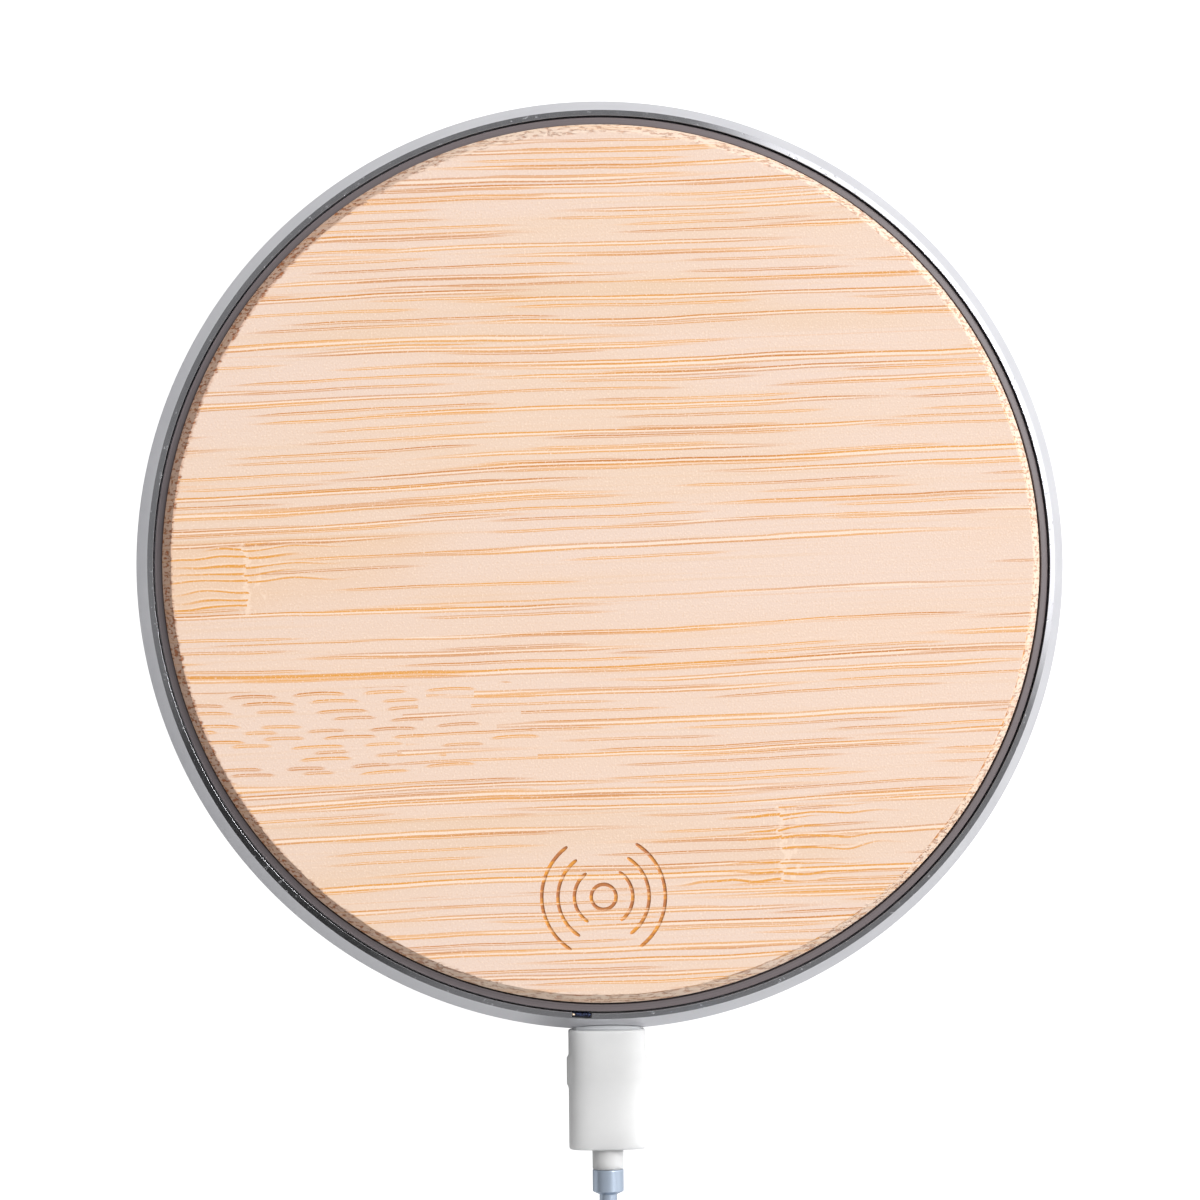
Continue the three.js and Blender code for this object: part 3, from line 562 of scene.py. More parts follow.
def joint_of_cane(graph, u, v, at, low, high, seed):
    """A node of the cane in one strip: wavy dark lines that taper away from a pale ridge across the grain.
    Returns the mask of the lines, and that of the ridge with pale folds, and with a painted glint beside each
    line."""
    strip = band(graph, v, low + 0.3, high - 0.3, 0.25)
    wobble = graph.noise(graph.join(seed, graph.times(v, 0.8)), 1.0, 3)
    away = graph.minus(u, graph.times_plus(wobble, JOINT_WOBBLE, at - JOINT_WOBBLE / 2))
    distance = graph.absolute(away)
    near = graph.invert(graph.smooth(distance, 0.2, 6))
    wave = graph.noise(graph.join(graph.times(u, 0.13), graph.times(v, 0.2), seed), 1.0, 1)
    right = graph.math("GREATER_THAN", away, 0)
    bent = graph.plus(v, graph.times(graph.minus(wave, 0.5), 2.0))
    bent = graph.times_plus(graph.times(near, right), 0.18, bent)
    lane = graph.math("FLOOR", graph.over(bent, JOINT_PITCH))
    chance = graph.random(graph.join(lane, right, seed + 4.1))
    reach = graph.times_plus(graph.random(graph.join(lane, right, seed)), 12, 4)
    size = graph.random(graph.join(lane, right, seed + 7.7))
    centre = graph.times_plus(graph.random(graph.join(lane, 0.0, seed + 2.2)), 0.6, 0.2)
    across = graph.minus(graph.math("FRACT", graph.over(bent, JOINT_PITCH)), centre)
    across = graph.times(across, JOINT_PITCH)
    fade = graph.invert(graph.smooth(graph.over(distance, reach), 0.4, 1.0))
    close = graph.invert(graph.smooth(distance, 0.3, 3))
    half = graph.times_plus(close, 0.03, graph.times_plus(size, 0.07, 0.015))
    body = graph.invert(graph.smooth(graph.minus(graph.absolute(across), half), 0, 0.07))
    fade = graph.times(fade, graph.math("LESS_THAN", chance, JOINT_SHARE))
    lines = graph.times(graph.times(body, fade), strip)
    # painted highlight: a thin pale line beside each dark line, always on the same side
    glint = graph.times(line(graph, graph.minus(across, 0.2), 0.03, 0.08), fade)
    rough = graph.noise(graph.join(graph.times(u, 1.4), graph.times(v, 0.8), seed), 1.0, 2)
    fold = graph.times(line(graph, graph.minus(away, 0.6), 0.9, 0.8), graph.smooth(rough, 0.52, 0.62))
    ridge = graph.math("MAXIMUM", line(graph, away, 0.12, 0.3), graph.math("MAXIMUM", glint, fold))
    return lines, graph.times(ridge, strip)


def bamboo_material():
    graph = material_graph("bamboo")
    place = graph.place()
    x, y, z = graph.split(place)
    turn = graph.add("ShaderNodeVectorRotate", {"Vector": place, "Angle": math.radians(-GRAIN_DEG)},
                     rotation_type="Z_AXIS").outputs[0]
    u, v0, _ = graph.split(turn)
    sway = graph.noise(graph.stretch(turn, (0.014, 0.035, 0)), 1.0, 1)
    waver = graph.noise(graph.stretch(turn, (0.07, 0.3, 0)), 1.0, 2)
    v = graph.plus(v0, graph.times_plus(sway, 2.6, -1.3))
    v = graph.plus(v, graph.times_plus(waver, 0.5, -0.25))

    # strips, each with its own tone and its own share of long fibres
    tone = graph.steps(v0, [(low, colour) for low, colour, _ in STRIPS])
    share = graph.steps(v0, [(low, (amount,) * 3) for low, _, amount in STRIPS])
    strip = graph.steps(v0, [(low, (i / len(STRIPS),) * 3) for i, (low, _, _) in enumerate(STRIPS)])
    seed = graph.times(strip, 31)
    before_end = graph.invert(graph.smooth(u, DASHES_END - 16, DASHES_END + 4))
    dashes_here = graph.times(band(graph, v0, *DASHES_V, 0.5), before_end)
    share = graph.times(share, graph.invert(graph.times(dashes_here, 0.85)))
    layers = [fibres(graph, u, v, FIBRES[name], share, graph.plus(seed, i * 7.0))
              for i, name in enumerate(("bundles", "pairs", "threads"))]
    dash_share = graph.times(dashes_here, 0.8)
    layers.append(fibres(graph, u, v, FIBRES["dashes"], dash_share, 41.0))
    edge = union(graph, [m[0] for m in layers])
    core = union(graph, [m[1] for m in layers])
    seam = union(graph, [line(graph, graph.minus(v0, low), 0.02, 0.09) for low, _, _ in STRIPS[1:]])
    nodes = [joint_of_cane(graph, u, v0, *spot, 10.0 + i) for i, spot in enumerate(CANE_JOINTS)]
    lines = union(graph, [m[0] for m in nodes])
    ridge = union(graph, [m[1] for m in nodes])

    # colour
    grain = graph.noise(graph.stretch(turn, (0.03, 2.4, 1.0)), 1.0, 4)
    patch = graph.noise(graph.stretch(turn, (0.02, 0.09, 1.0)), 1.0, 2)
    base = graph.mix(graph.smooth(patch, 0.35, 0.65), tone, WOOD_PALE)
    base = graph.mix(graph.times(graph.smooth(grain, 0.52, 0.72), 0.35), base, WOOD_TAN)
    browner = graph.smooth(graph.noise(graph.stretch(turn, (0.03, 0.7, 0)), 1.0, 1), 0.4, 0.65)
    dark = graph.mix(browner, WOOD_LINE, WOOD_BROWN)
    base = graph.mix(graph.times(seam, 0.22), base, WOOD_LINE)
    base = graph.mix(graph.times(core, 0.75), base, WOOD_CREAM)
    base = graph.mix(edge, base, dark)
    # the ridge mask also holds the painted glints beside the joint's lines
    base = graph.mix(graph.times(ridge, 0.5), base, WOOD_CREAM)
    base = graph.mix(lines, base, WOOD_LINE)
    speck = graph.noise(place, 5, 2)
    base = graph.mix(graph.times(graph.smooth(speck, 0.54, 0.74), 0.7), base, WOOD_CREAM)
    base = graph.mix(graph.times(graph.smooth(speck, 0.46, 0.26), 0.6), base, WOOD_TAN)

    # the sanded chamfer shows brown end grain in flecks, with painted shade that makes it browner on its left
    # side, away from the key light, and the engraved symbol is scorched
    r = graph.reach(x, y)
    ragged = graph.noise(graph.stretch(turn, (0.5, 1.6, 0)), 1.0, 3, 0.6)
    rim = graph.smooth(graph.times_plus(ragged, 0.9, r), WOOD_TOP_R + 0.25, WOOD_TOP_R + 0.55)
    # painted shade: more of the end grain's brown on the chamfer's left side, the side that faces away from
    # the key light
    shaded_end_grain = graph.smooth(graph.over(x, r), -0.2, -0.75)
    pores = graph.smooth(graph.noise(graph.stretch(turn, (1.1, 3.4, 2.5)), 1.0, 4, 0.6), 0.5, 0.62)
    flecks_and_shade = graph.times_plus(pores, graph.times_plus(shaded_end_grain, 0.1, 0.55), graph.times(shaded_end_grain, 0.4))
    base = graph.mix(graph.times(rim, 0.5), base, WOOD_CREAM)
    base = graph.mix(graph.times(rim, flecks_and_shade), base, WOOD_END_AND_SHADE)
    inside = graph.invert(rim)
    deep = graph.invert(graph.smooth(z, WOOD_TOP_Z - 0.05, WOOD_TOP_Z - 0.012))
    scorched = graph.mix(graph.smooth(grain, 0.4, 0.65), WOOD_SCORCHED, WOOD_LINE)
    burnt = graph.times(graph.times(deep, inside), graph.times_plus(core, -0.7, 1.0))
    base = graph.mix(burnt, base, scorched)

    # relief: fine grain, and open pores on the chamfer
    relief = graph.plus(speck, grain)
    relief = graph.minus(relief, graph.times(graph.times(rim, pores), 4))
    graph.set(base_color=base, roughness=0.55, normal=graph.bump(relief, 0.035, 0.6))
    return graph.owner


def ring_material():
    """Satin anodised wall below, polished bevel with a few sparkling pits above."""
    graph = material_graph("satin_aluminium")
    place = graph.place()
    z = graph.split(place)[2]
    polished = graph.smooth(z, BEVEL_Z - 0.02, BEVEL_Z + 0.02)
    fine = graph.noise(place, 9, 2)
    drift = graph.noise(place, 0.12, 2)
    satin = graph.times_plus(drift, 0.08, 0.36)
    shine = graph.times_plus(graph.noise(place, 0.8, 3), 0.14, 0.1)
    mixed = graph.add("ShaderNodeMix", {0: polished, 2: satin, 3: shine}, data_type="FLOAT").outputs[0]
    colour = graph.ramp(drift, (0.3, srgb(208, 208, 213)), (0.7, srgb(216, 216, 220)))
    height = graph.times(fine, graph.times_plus(polished, -0.7, 1.0))
    pits = graph.smooth(graph.noise(place, 1.6, 1), 0.7, 0.76)
    height = graph.minus(height, graph.times(pits, 3))
    metallic = graph.times_plus(polished, 0.4, 0.6)
    graph.set(base_color=colour, metallic=metallic, roughness=mixed, normal=graph.bump(height, 0.006))
    return graph.owner


def tray_material():
    """Moulded in a turned tool, which left fine rings round the middle."""
    graph = material_graph("dark_plastic")
    place = graph.place()
    x, y, _ = graph.split(place)
    r = graph.reach(x, y)
    rings = graph.noise(graph.join(graph.times(r, 4.5), 0.3), 1.0, 2)
    fine = graph.noise(place, 8, 2)
    height = graph.times_plus(rings, 2, fine)
    colour = graph.ramp(rings, (0.35, srgb(102, 94, 96)), (0.65, srgb(122, 113, 115)))
    gloss = graph.times_plus(graph.noise(place, 0.15, 3), 0.12, 0.46)
    graph.set(base_color=colour, roughness=gloss, normal=graph.bump(height, 0.012))
    return graph.owner


def lens_material():
    """Smoked clear plastic, with paler blue patches painted in as glints."""
    graph = material_graph("lamp_lens")
    # painted reflection: noise mixes paler blue patches into the navy, standing in for glints
    painted_glints = graph.noise(graph.place(), 3.5, 2)
    colour = graph.ramp(painted_glints, (0.45, srgb(20, 23, 42)), (0.7, srgb(78, 90, 132)))
    graph.set(base_color=colour, roughness=0.15)
    return graph.owner


def lamp_glow_material():
    """Clear plastic that glows warm white, more in its middle."""
    graph = material_graph("lamp_glow")
    turn = math.radians(LAMP_DOT["deg"])
    middle = (LAMP_DOT["reach"] * math.sin(turn), -LAMP_DOT["reach"] * math.cos(turn), LAMP_DOT["z"])
    away = graph.add("ShaderNodeVectorMath", {0: graph.place(), 1: middle}, operation="DISTANCE")
    share = graph.over(away.outputs["Value"], LAMP_DOT["r"])
    glow = graph.ramp(share, (0.6, srgb(255, 240, 214)), (1.0, srgb(226, 150, 84)))
    graph.set(base_color=(*srgb(236, 214, 190), 1), roughness=0.2)
    graph.set(emission_color=glow, emission_strength=0.4)
    return graph.owner


def winding_material():
    """Flat spiral of stranded wire: a round ridge for each turn, with fine twisted strands across it, and
    painted shade that darkens each turn towards the gaps beside it.
    """
    graph = material_graph("wound_copper")
    x, y, _ = graph.split(graph.place())
    r = graph.reach(x, y)
    angle = graph.math("ARCTAN2", y, x)
    turn = graph.minus(graph.over(r, WIRE_PITCH), graph.over(angle, 2 * math.pi))
    across = graph.absolute(graph.minus(graph.math("FRACT", turn), 0.5))
    strands = graph.math("SINE", graph.times_plus(angle, 240, graph.times(r, 9)))
    height = graph.times_plus(strands, 0.08, graph.invert(graph.smooth(across, 0.2, 0.5)))
    # painted shade: copper on each turn's crest, dark brown towards the gaps between turns
    colour = graph.ramp(graph.smooth(across, 0.3, 0.5), (0.0, srgb(204, 126, 74)), (1.0, srgb(84, 44, 26)))
    graph.set(base_color=colour, metallic=1.0, roughness=0.38, normal=graph.bump(height, 0.3))
    return graph.owner


# light goes a little way into the milky plastic, and its surface mirrors little
MILKY = {"subsurface_weight": 0.9, "subsurface_scale": 0.004, "subsurface_radius": (1, 1, 1),
         "specular_ior_level": 0.15}


def make_materials():
    return {
        "bamboo": bamboo_material(),
        "film": moulded("film", srgb(214, 205, 186), 0.6),
        "dark_plastic": tray_material(),
        "satin_aluminium": ring_material(),
        "black_plastic": moulded("black_plastic", srgb(44, 44, 47), 0.5),
        "foot_rubber": moulded("foot_rubber", srgb(58, 58, 60), 0.8),
        "screw_steel": metal("screw_steel", srgb(190, 190, 194), 0.3),
        "copper_wire": metal("copper_wire", srgb(200, 120, 70), 0.35),
        "ferrite": moulded("ferrite", srgb(60, 60, 63), 0.6),
        "chip_black": moulded("chip_black", srgb(30, 30, 33), 0.5),
        "board": moulded("board", srgb(26, 92, 62), 0.35),
        "ceramic": moulded("ceramic", srgb(168, 140, 106), 0.5),
        "lamp_body": moulded("lamp_body", srgb(230, 230, 224), 0.4),
        "lamp_lens": lens_material(),
        "tinned_metal": metal("tinned_metal", srgb(205, 205, 200), 0.3),
        "white_plastic": moulded("white_plastic", srgb(214, 214, 214), 0.55, depth=0.003, **MILKY),
        "grey_plastic": moulded("grey_plastic", srgb(186, 188, 191), 0.5),
        "blue_grey_plastic": moulded("blue_grey_plastic", srgb(178, 191, 208), 0.36, metallic=0.75),
        "cord_jacket": moulded("cord_jacket", srgb(178, 191, 208), 0.36, metallic=0.75),
        "tie_plastic": moulded("tie_plastic", srgb(44, 44, 47), 0.5),
        "lamp_glow": lamp_glow_material(),
        "gold": metal("gold", srgb(232, 190, 110), 0.25),
        "wound_copper": winding_material(),
        "floor": floor_material(),
    }


# ---------------------------------------------------------------- the pad's pieces
def groove(points, closed):
    """The cutter for an engraved line: a rounded section swept along points on the wood's face."""
    rings = []
    count = len(points)
    for i, (x, y) in enumerate(points):
        before = points[i - 1] if closed or i else points[0]
        after = points[(i + 1) % count] if closed or i < count - 1 else points[-1]
        across = Vector((after[1] - before[1], before[0] - after[0])).normalized()
        end = min(i, count - 1 - i)
        swell = 1 if closed or end > 2 else (0.45, 0.8, 0.95)[end]
        ring = []
        for k in range(12):
            angle = 2 * math.pi * k / 12
            reach = SYMBOL_HALF_WIDTH * swell * math.cos(angle)
            rise = (SYMBOL_DEPTH if math.sin(angle) < 0 else 0.4) * math.sin(angle) * swell
            ring.append((x + across.x * reach, y + across.y * reach, WOOD_TOP_Z + rise))
        rings.append(ring)
    return loft("tool", rings, "bamboo", looped=closed)


def arc(radius, from_deg, to_deg, steps):
    """Points of the symbol's arc, in the pad's frame."""
    points = []
    for k in range(steps):
        angle = math.radians(SYMBOL_TURN_DEG + from_deg + (to_deg - from_deg) * k / (steps - 1))
        points.append((SYMBOL_AT[0] + radius * math.cos(angle), SYMBOL_AT[1] + radius * math.sin(angle)))
    return points


def symbol_tools():
    tools = [groove(arc(SYMBOL_CIRCLE_R, 0, 352.5, 48), True)]
    for radius in SYMBOL_ARC_R:
        steps = int(radius * 14)
        for middle in (0, 180):
            points = arc(radius, middle - SYMBOL_HALF_DEG, middle + SYMBOL_HALF_DEG, steps)
            tools.append(groove(points, False))
    return tools


def make_bamboo_disc():
    edge = rounded([(0, WOOD_Z, 0), (WOOD_R, WOOD_Z, 0.15), (WOOD_R, WOOD_CHAMFER_Z, 0.12),
                    (WOOD_TOP_R, WOOD_TOP_Z, 0.1), (0, WOOD_TOP_Z, 0)], closed=False)
    disc = lathe("bamboo_disc", edge, "bamboo", TURNED_STEPS, sharp=14)
    dice = random.Random(4)
    swings = [(n, dice.uniform(0, 2 * math.pi), 1 / math.sqrt(n)) for n in (7, 13, 23, 41, 67, 97)]
    for vert in disc.data.vertices:
        x, y, z = vert.co / MM
        r = math.hypot(x, y)
        if r > WOOD_TOP_R - 0.5 and z > WOOD_TOP_Z - 0.3:
            angle = math.atan2(y, x)
            stray = sum(size * math.sin(n * angle + start) for n, start, size in swings)
            factor = 1 + WOOD_RAGGED * stray / r
            vert.co.x *= factor
            vert.co.y *= factor
    carve(disc, *symbol_tools(), sharp=14)
    return stand_for(put(disc, WOOD_SHIFT), "bamboo", "bamboo_disc")


def stadium(width, height, steps=16):
    """An outline in x and z, round at its two sides."""
    r = height / 2
    flat = width / 2 - r
    points = []
    for side, start in ((1, -90), (-1, 90)):
        for k in range(steps + 1):
            angle = math.radians(start + 180 * k / steps)
            points.append((side * flat + r * math.cos(angle), r * math.sin(angle)))
    return points


def oval(width, height, power=2, steps=96):
    """An outline in x and z: an ellipse, or a fuller oval if power is above 2."""
    points = []
    for k in range(steps):
        angle = 2 * math.pi * k / steps
        c, s = math.cos(angle), math.sin(angle)
        x = math.copysign(abs(c) ** (2 / power), c)
        z = math.copysign(abs(s) ** (2 / power), s)
        points.append((x * width / 2, z * height / 2))
    return points


def shrunk(outline, distance):
    """The outline moved inwards by distance."""
    count = len(outline)
    inner = []
    for i, point in enumerate(outline):
        ahead = (Vector(outline[(i + 1) % count]) - Vector(outline[i - 1])).normalized()
        inner.append((point[0] - ahead.y * distance, point[1] + ahead.x * distance))
    return inner


def ring_at(outline, y, z=PORT_Z):
    return [(x, y, z + dz) for x, dz in outline]


def make_case_ring():
    ring = lathe("case_ring", rounded(RING_PROFILE), "satin_aluminium", TURNED_STEPS)
    slot = stadium(*PORT_SLOT)
    start, end = RING_CUT_Y
    slot_tool = loft("tool", [ring_at(slot, start), ring_at(slot, PORT_RECESS)], "satin_aluminium")
    mouth = oval(*PORT_OVAL)
    port_tool = loft("tool", [ring_at(mouth, PORT_RECESS + 0.1), ring_at(mouth, end)], "satin_aluminium")
    carve(ring, slot_tool, port_tool, box_tool(*RING_LAMP_CUT, LAMP_DEG))
    return stand_for(ring, "satin_aluminium", "case_ring")


def make_top_housing():
    tray = lathe("top_housing", rounded(TRAY_PROFILE, closed=False), "dark_plastic", TURNED_STEPS)
    carve(tray, box_tool(*TRAY_PORT_CUT), box_tool(*TRAY_LAMP_CUT, LAMP_DEG))
    for i, (x, y) in enumerate(SCREW_PLACES):
        boss = lathe(f"housing_boss_{i + 1}", rounded(BOSS_PROFILE), "dark_plastic", 48)
        stand_for(put(boss, (x, y, 0)), "dark_plastic")
    return stand_for(tray, "dark_plastic", "top_housing")


def make_bottom_cover():
    cover = lathe("bottom_cover", rounded(COVER_PROFILE, closed=False), "black_plastic", TURNED_STEPS)
    tools = []
    for x, y in SCREW_PLACES:
        tools.append(put(lathe("tool", WELL_PROFILE, "black_plastic", 48), (x, y, 0)))
    carve(cover, *tools)
    return stand_for(cover, "black_plastic", "bottom_cover")


def make_rubber_foot():
    foot = lathe("rubber_foot", rounded(FOOT_PROFILE), "foot_rubber", TURNED_STEPS)
    return stand_for(foot, "foot_rubber", "rubber_foot")


def make_light_pipe():
    outline = rounded(LIGHT_PIPE)
    rings = []
    for x, inset in ((-0.95, 0.05), (-0.9, 0), (0.9, 0), (0.95, 0.05)):
        rings.append([(x, y, z) for y, z in shrunk(outline, inset)])
    pipe = loft("light_pipe", rings, "lamp_lens")
    return stand_for(put(pipe, turn_deg=LAMP_DEG), "lamp_lens", "light_pipe")


def make_lamp_dot():
    """The bright spot at one end of the lamp window, where the lamp's light comes out."""
    r = LAMP_DOT["r"]
    rise = LAMP_DOT["rise"] * r
    dome = [(0, 0)]
    for k in range(LAMP_DOT["steps"]):
        angle = math.pi / 2 * k / LAMP_DOT["steps"]
        dome.append((r * math.cos(angle), rise * math.sin(angle)))
    dot = lathe("lamp_window_dot", [*dome, (0, rise)], "lamp_glow", 24)
    away = Vector((0, -LAMP_DOT["reach"], LAMP_DOT["z"])) * MM
    turn = Matrix.Rotation(math.radians(LAMP_DOT["deg"]), 4, "Z")
    dot.data.transform(turn @ Matrix.Translation(away))
    return stand_for(dot, "lamp_lens")


def usb_outline(width, height):
    """The small USB outline: a slot whose two lower corners are cut off."""
    w, h, cut = width / 2, height / 2, height * 0.45
    corners = [(-w, h), (-w, cut - h), (cut - w, -h), (w - cut, -h), (w, cut - h), (w, h)]
    return rounded([(*corner, min(0.35, height * 0.18)) for corner in corners])


def sleeve(name, outline, wall, front, back, material, z=PORT_Z):
    """A sheet metal tube along Y, centred at height z, with softened edges at its two ends."""
    lip = wall * 0.3
    rings = []
    for inset, y in ((lip, front), (0, front - lip), (0, back + lip), (lip, back),
                     (wall - lip, back), (wall, back + lip), (wall, front - lip), (wall - lip, front)):
        rings.append(ring_at(shrunk(outline, inset), y, z))
    return loft(name, rings, material, looped=True)


def make_socket():
    outline = usb_outline(SOCKET["width"], SOCKET["height"])
    socket = sleeve("usb_socket_shell", outline, SOCKET["wall"], SOCKET["back"], SOCKET["front"],
                    "tinned_metal")
    return stand_for(socket, "tinned_metal", "usb_socket_shell")


# ---------------------------------------------------------------- the cable's pieces
def make_plug_shell():
    outline = usb_outline(SHELL["width"], SHELL["height"])
    shell = sleeve("plug_shell", outline, SHELL["wall"], SHELL["front"], SHELL["back"], "tinned_metal")
    return stand_for(shell, "tinned_metal", "plug_shell", body="cable")


def gripped(outline, y):
    """The plug's outline with a low grip swelling from each of its two sides near the middle of the grip."""
    along = 1 - ((y - GRIP["middle"]) / GRIP["reach"]) ** 2
    if along <= 0:
        return outline
    points = []
    for x, z in outline:
        side = 1 - (z / GRIP["height"]) ** 2
        swell = GRIP["depth"] * min(1, 3 * along) * max(0, min(1, 2 * side)) if abs(x) > 2 else 0
        points.append((x + math.copysign(swell, x), z))
    return points


def make_plug_overmould():
    outline = oval(PLUG["width"], PLUG["height"], PLUG["power"])
    front, back, edge = PLUG["front"], PLUG["back"], PLUG["round"]

    def end_ring(angle, y, way):
        inset = edge * (1 - math.sin(angle))
        return ring_at(shrunk(outline, inset), y + way * edge * (1 - math.cos(angle)))

    arc_steps = 5
    steps = 48
    rings = [end_ring(math.pi / 2 * k / arc_steps, front, -1) for k in range(arc_steps + 1)]
    for k in range(1, steps):
        y = front - edge + (back - front + 2 * edge) * k / steps
        rings.append(ring_at(gripped(outline, y), y))
    rings += [end_ring(math.pi / 2 * (1 - k / arc_steps), back, 1) for k in range(arc_steps + 1)]
    plug = loft("plug_overmould", rings, "white_plastic")
    carve(plug, pocket_tool(SHELL["back"] - 0.1))
    stand_for(plug, "white_plastic", "plug_overmould", body="cable")
    nose = make_nose()
    carve(nose, pocket_tool(POCKET["nose_back"]))
    stand_for(nose, "white_plastic", body="cable")
    start = PLUG["back"] + 0.8
    profile = [(0, start, 0), (NECK_R, start, 0), (NECK_R, NECK_END, 0.12), (0, NECK_END, 0)]
    stand_for(about_port("plug_neck", profile, "white_plastic"), "white_plastic", body="cable")


def pocket_tool(back):
    """The cutter for the shell's pocket, from in front of the nose to back."""
    pocket = usb_outline(SHELL["width"] + POCKET["gap"], SHELL["height"] + POCKET["gap"])
    return loft("tool", [ring_at(pocket, POCKET["front"]), ring_at(pocket, back)], "white_plastic")


def wall_y(x, z):
    """Where the case ring's sloping wall lies over the port."""
    (_, _, _), (_, _, _), (rim_r, rim_z, _), (top_r, top_z, _) = RING_PROFILE[:4]
    r = rim_r - max(0, z - rim_z) * (rim_r - top_r) / (top_z - rim_z)
    return -math.sqrt(r * r - x * x)


def make_nose():
    """The plug's oval end in the port, slimmer inside the ring. A fine groove divides it from the plug."""
    outline = oval(NOSE["width"], NOSE["height"])
    gap, soft = NOSE["groove"], NOSE["soft"]
    slim = shrunk(outline, 2 * gap)
    low = shrunk(outline, gap)
    foot = PLUG["front"] + 0.1
    rings = [
        ring_at(shrunk(outline, 2 * gap + soft), NOSE["front"]),
        ring_at(slim, NOSE["front"] - soft),
        [(x, wall_y(x, PORT_Z + z), PORT_Z + z) for x, z in slim],
        [(x, wall_y(x, PORT_Z + z) - NOSE["step"], PORT_Z + z) for x, z in outline],
        ring_at(outline, foot),
        ring_at(low, foot - 0.03),
        ring_at(low, PLUG["front"] - 0.3),
    ]
    return loft("plug_nose", rings, "grey_plastic")


def about_port(name, profile, slot):
    """Turns (r, y, rounding) points about the port's axis."""
    outline = [(r, -y) for r, y in rounded(profile, closed=False)]
    return put(lathe(name, outline, slot, 96), (0, 0, PORT_Z), 90, "X")


def make_strain_relief():
    start = NECK_END - 0.05
    profile = [(0, start, 0), (NECK_R, start, 0.1), (NECK_R, BOOT_END + 0.3, 0.1),
               (CORD_D / 2 + 0.1, BOOT_END, 0.05), (0, BOOT_END, 0)]
    boot = about_port("plug_strain_relief", profile, "blue_grey_plastic")
    return stand_for(boot, "blue_grey_plastic", "plug_strain_relief", body="cable")


# ---------------------------------------------------------------- the large plug at the cord's far end
def along_cable_end(piece):
    """Turns a piece made along -Y, with the plug's start at the origin, to where the far plug lies."""
    return put(piece, A_PLUG_AT, 90)


def softened_box(width, height, radius):
    w, h = width / 2, height / 2
    return rounded([(-w, h, radius), (-w, -h, radius), (w, -h, radius), (w, h, radius)])


def make_far_boot():
    """A tapered boot with five flexing grooves."""
    length, start_r, end_r = A_BOOT["length"], A_BOOT["start_r"], A_BOOT["end_r"]
    corners = [(0, 0, 0), (start_r, 0, 0.2)]
    for k in range(A_BOOT["grooves"]):
        middle = length * (k + 1) / (A_BOOT["grooves"] + 1)
        for along, depth in ((-0.35, 0), (-0.25, 0.28), (0.25, 0.28), (0.35, 0)):
            y = middle + along
            corners.append((start_r + (end_r - start_r) * y / length - depth, y, 0.05))
    corners += [(end_r, length - 0.05, 0.1), (0, length - 0.05, 0)]
    outline = rounded(corners, closed=False)
    boot = lathe("usb_a_strain_relief", outline, "blue_grey_plastic", 64)
    along_cable_end(put(boot, turn_deg=90, axis="X"))
    return stand_for(boot, "blue_grey_plastic", "usb_a_strain_relief", body="cable")


def make_far_overmould():
    """The grip: a softened block with shallow grooves across its upper and lower faces."""
    start, length, edge = A_BOOT["length"], A_GRIP["length"], A_GRIP["round"]
    outline = softened_box(A_GRIP["width"], A_GRIP["height"], A_GRIP["corner"])
    rings = []
    steps = 96
    for k in range(steps + 1):
        y = length * k / steps
        end = min(y, length - y)
        inset = edge - math.sqrt(edge ** 2 - (edge - end) ** 2) if end < edge else 0
        wave = 0
        if A_GRIP["first"] < y < A_GRIP["last"]:
            phase = (y - A_GRIP["first"]) / (A_GRIP["last"] - A_GRIP["first"]) * A_GRIP["grooves"]
            wave = A_GRIP["depth"] * math.sin(math.pi * (phase % 1)) ** 2
        ring = []
        for x, z in shrunk(outline, inset):
            inner = (A_GRIP["width"] / 2 - A_GRIP["margin"] - abs(x)) / A_GRIP["fade"]
            inner = max(0, min(1, inner))
            ring.append((x, -start - y, z - math.copysign(wave * inner, z)))
        rings.append(ring)
    grip = loft("usb_a_overmould", rings, "white_plastic")
    return stand_for(along_cable_end(grip), "white_plastic", "usb_a_overmould", body="cable")


def make_far_shell():
    """The large plug's folded shell with its two pairs of square latch holes."""
    start = A_BOOT["length"] + A_GRIP["length"] + 0.05
    end = A_BOOT["length"] + A_GRIP["length"] + A_SHELL["length"]
    outline = softened_box(A_SHELL["width"], A_SHELL["height"], A_SHELL["corner"])
    shell = sleeve("usb_a_shell", outline, A_SHELL["wall"], -start, -end, "tinned_metal", 0)
    holes = []
    hole, away = A_SHELL["hole"] / 2, end - A_SHELL["hole_at"]
    for x in (-A_SHELL["hole_x"], A_SHELL["hole_x"]):
        holes.append(box_tool((x - hole, -away - hole, -5), (x + hole, -away + hole, 5)))
    carve(shell, *holes)
    return stand_for(along_cable_end(shell), "tinned_metal", "usb_a_shell", body="cable")


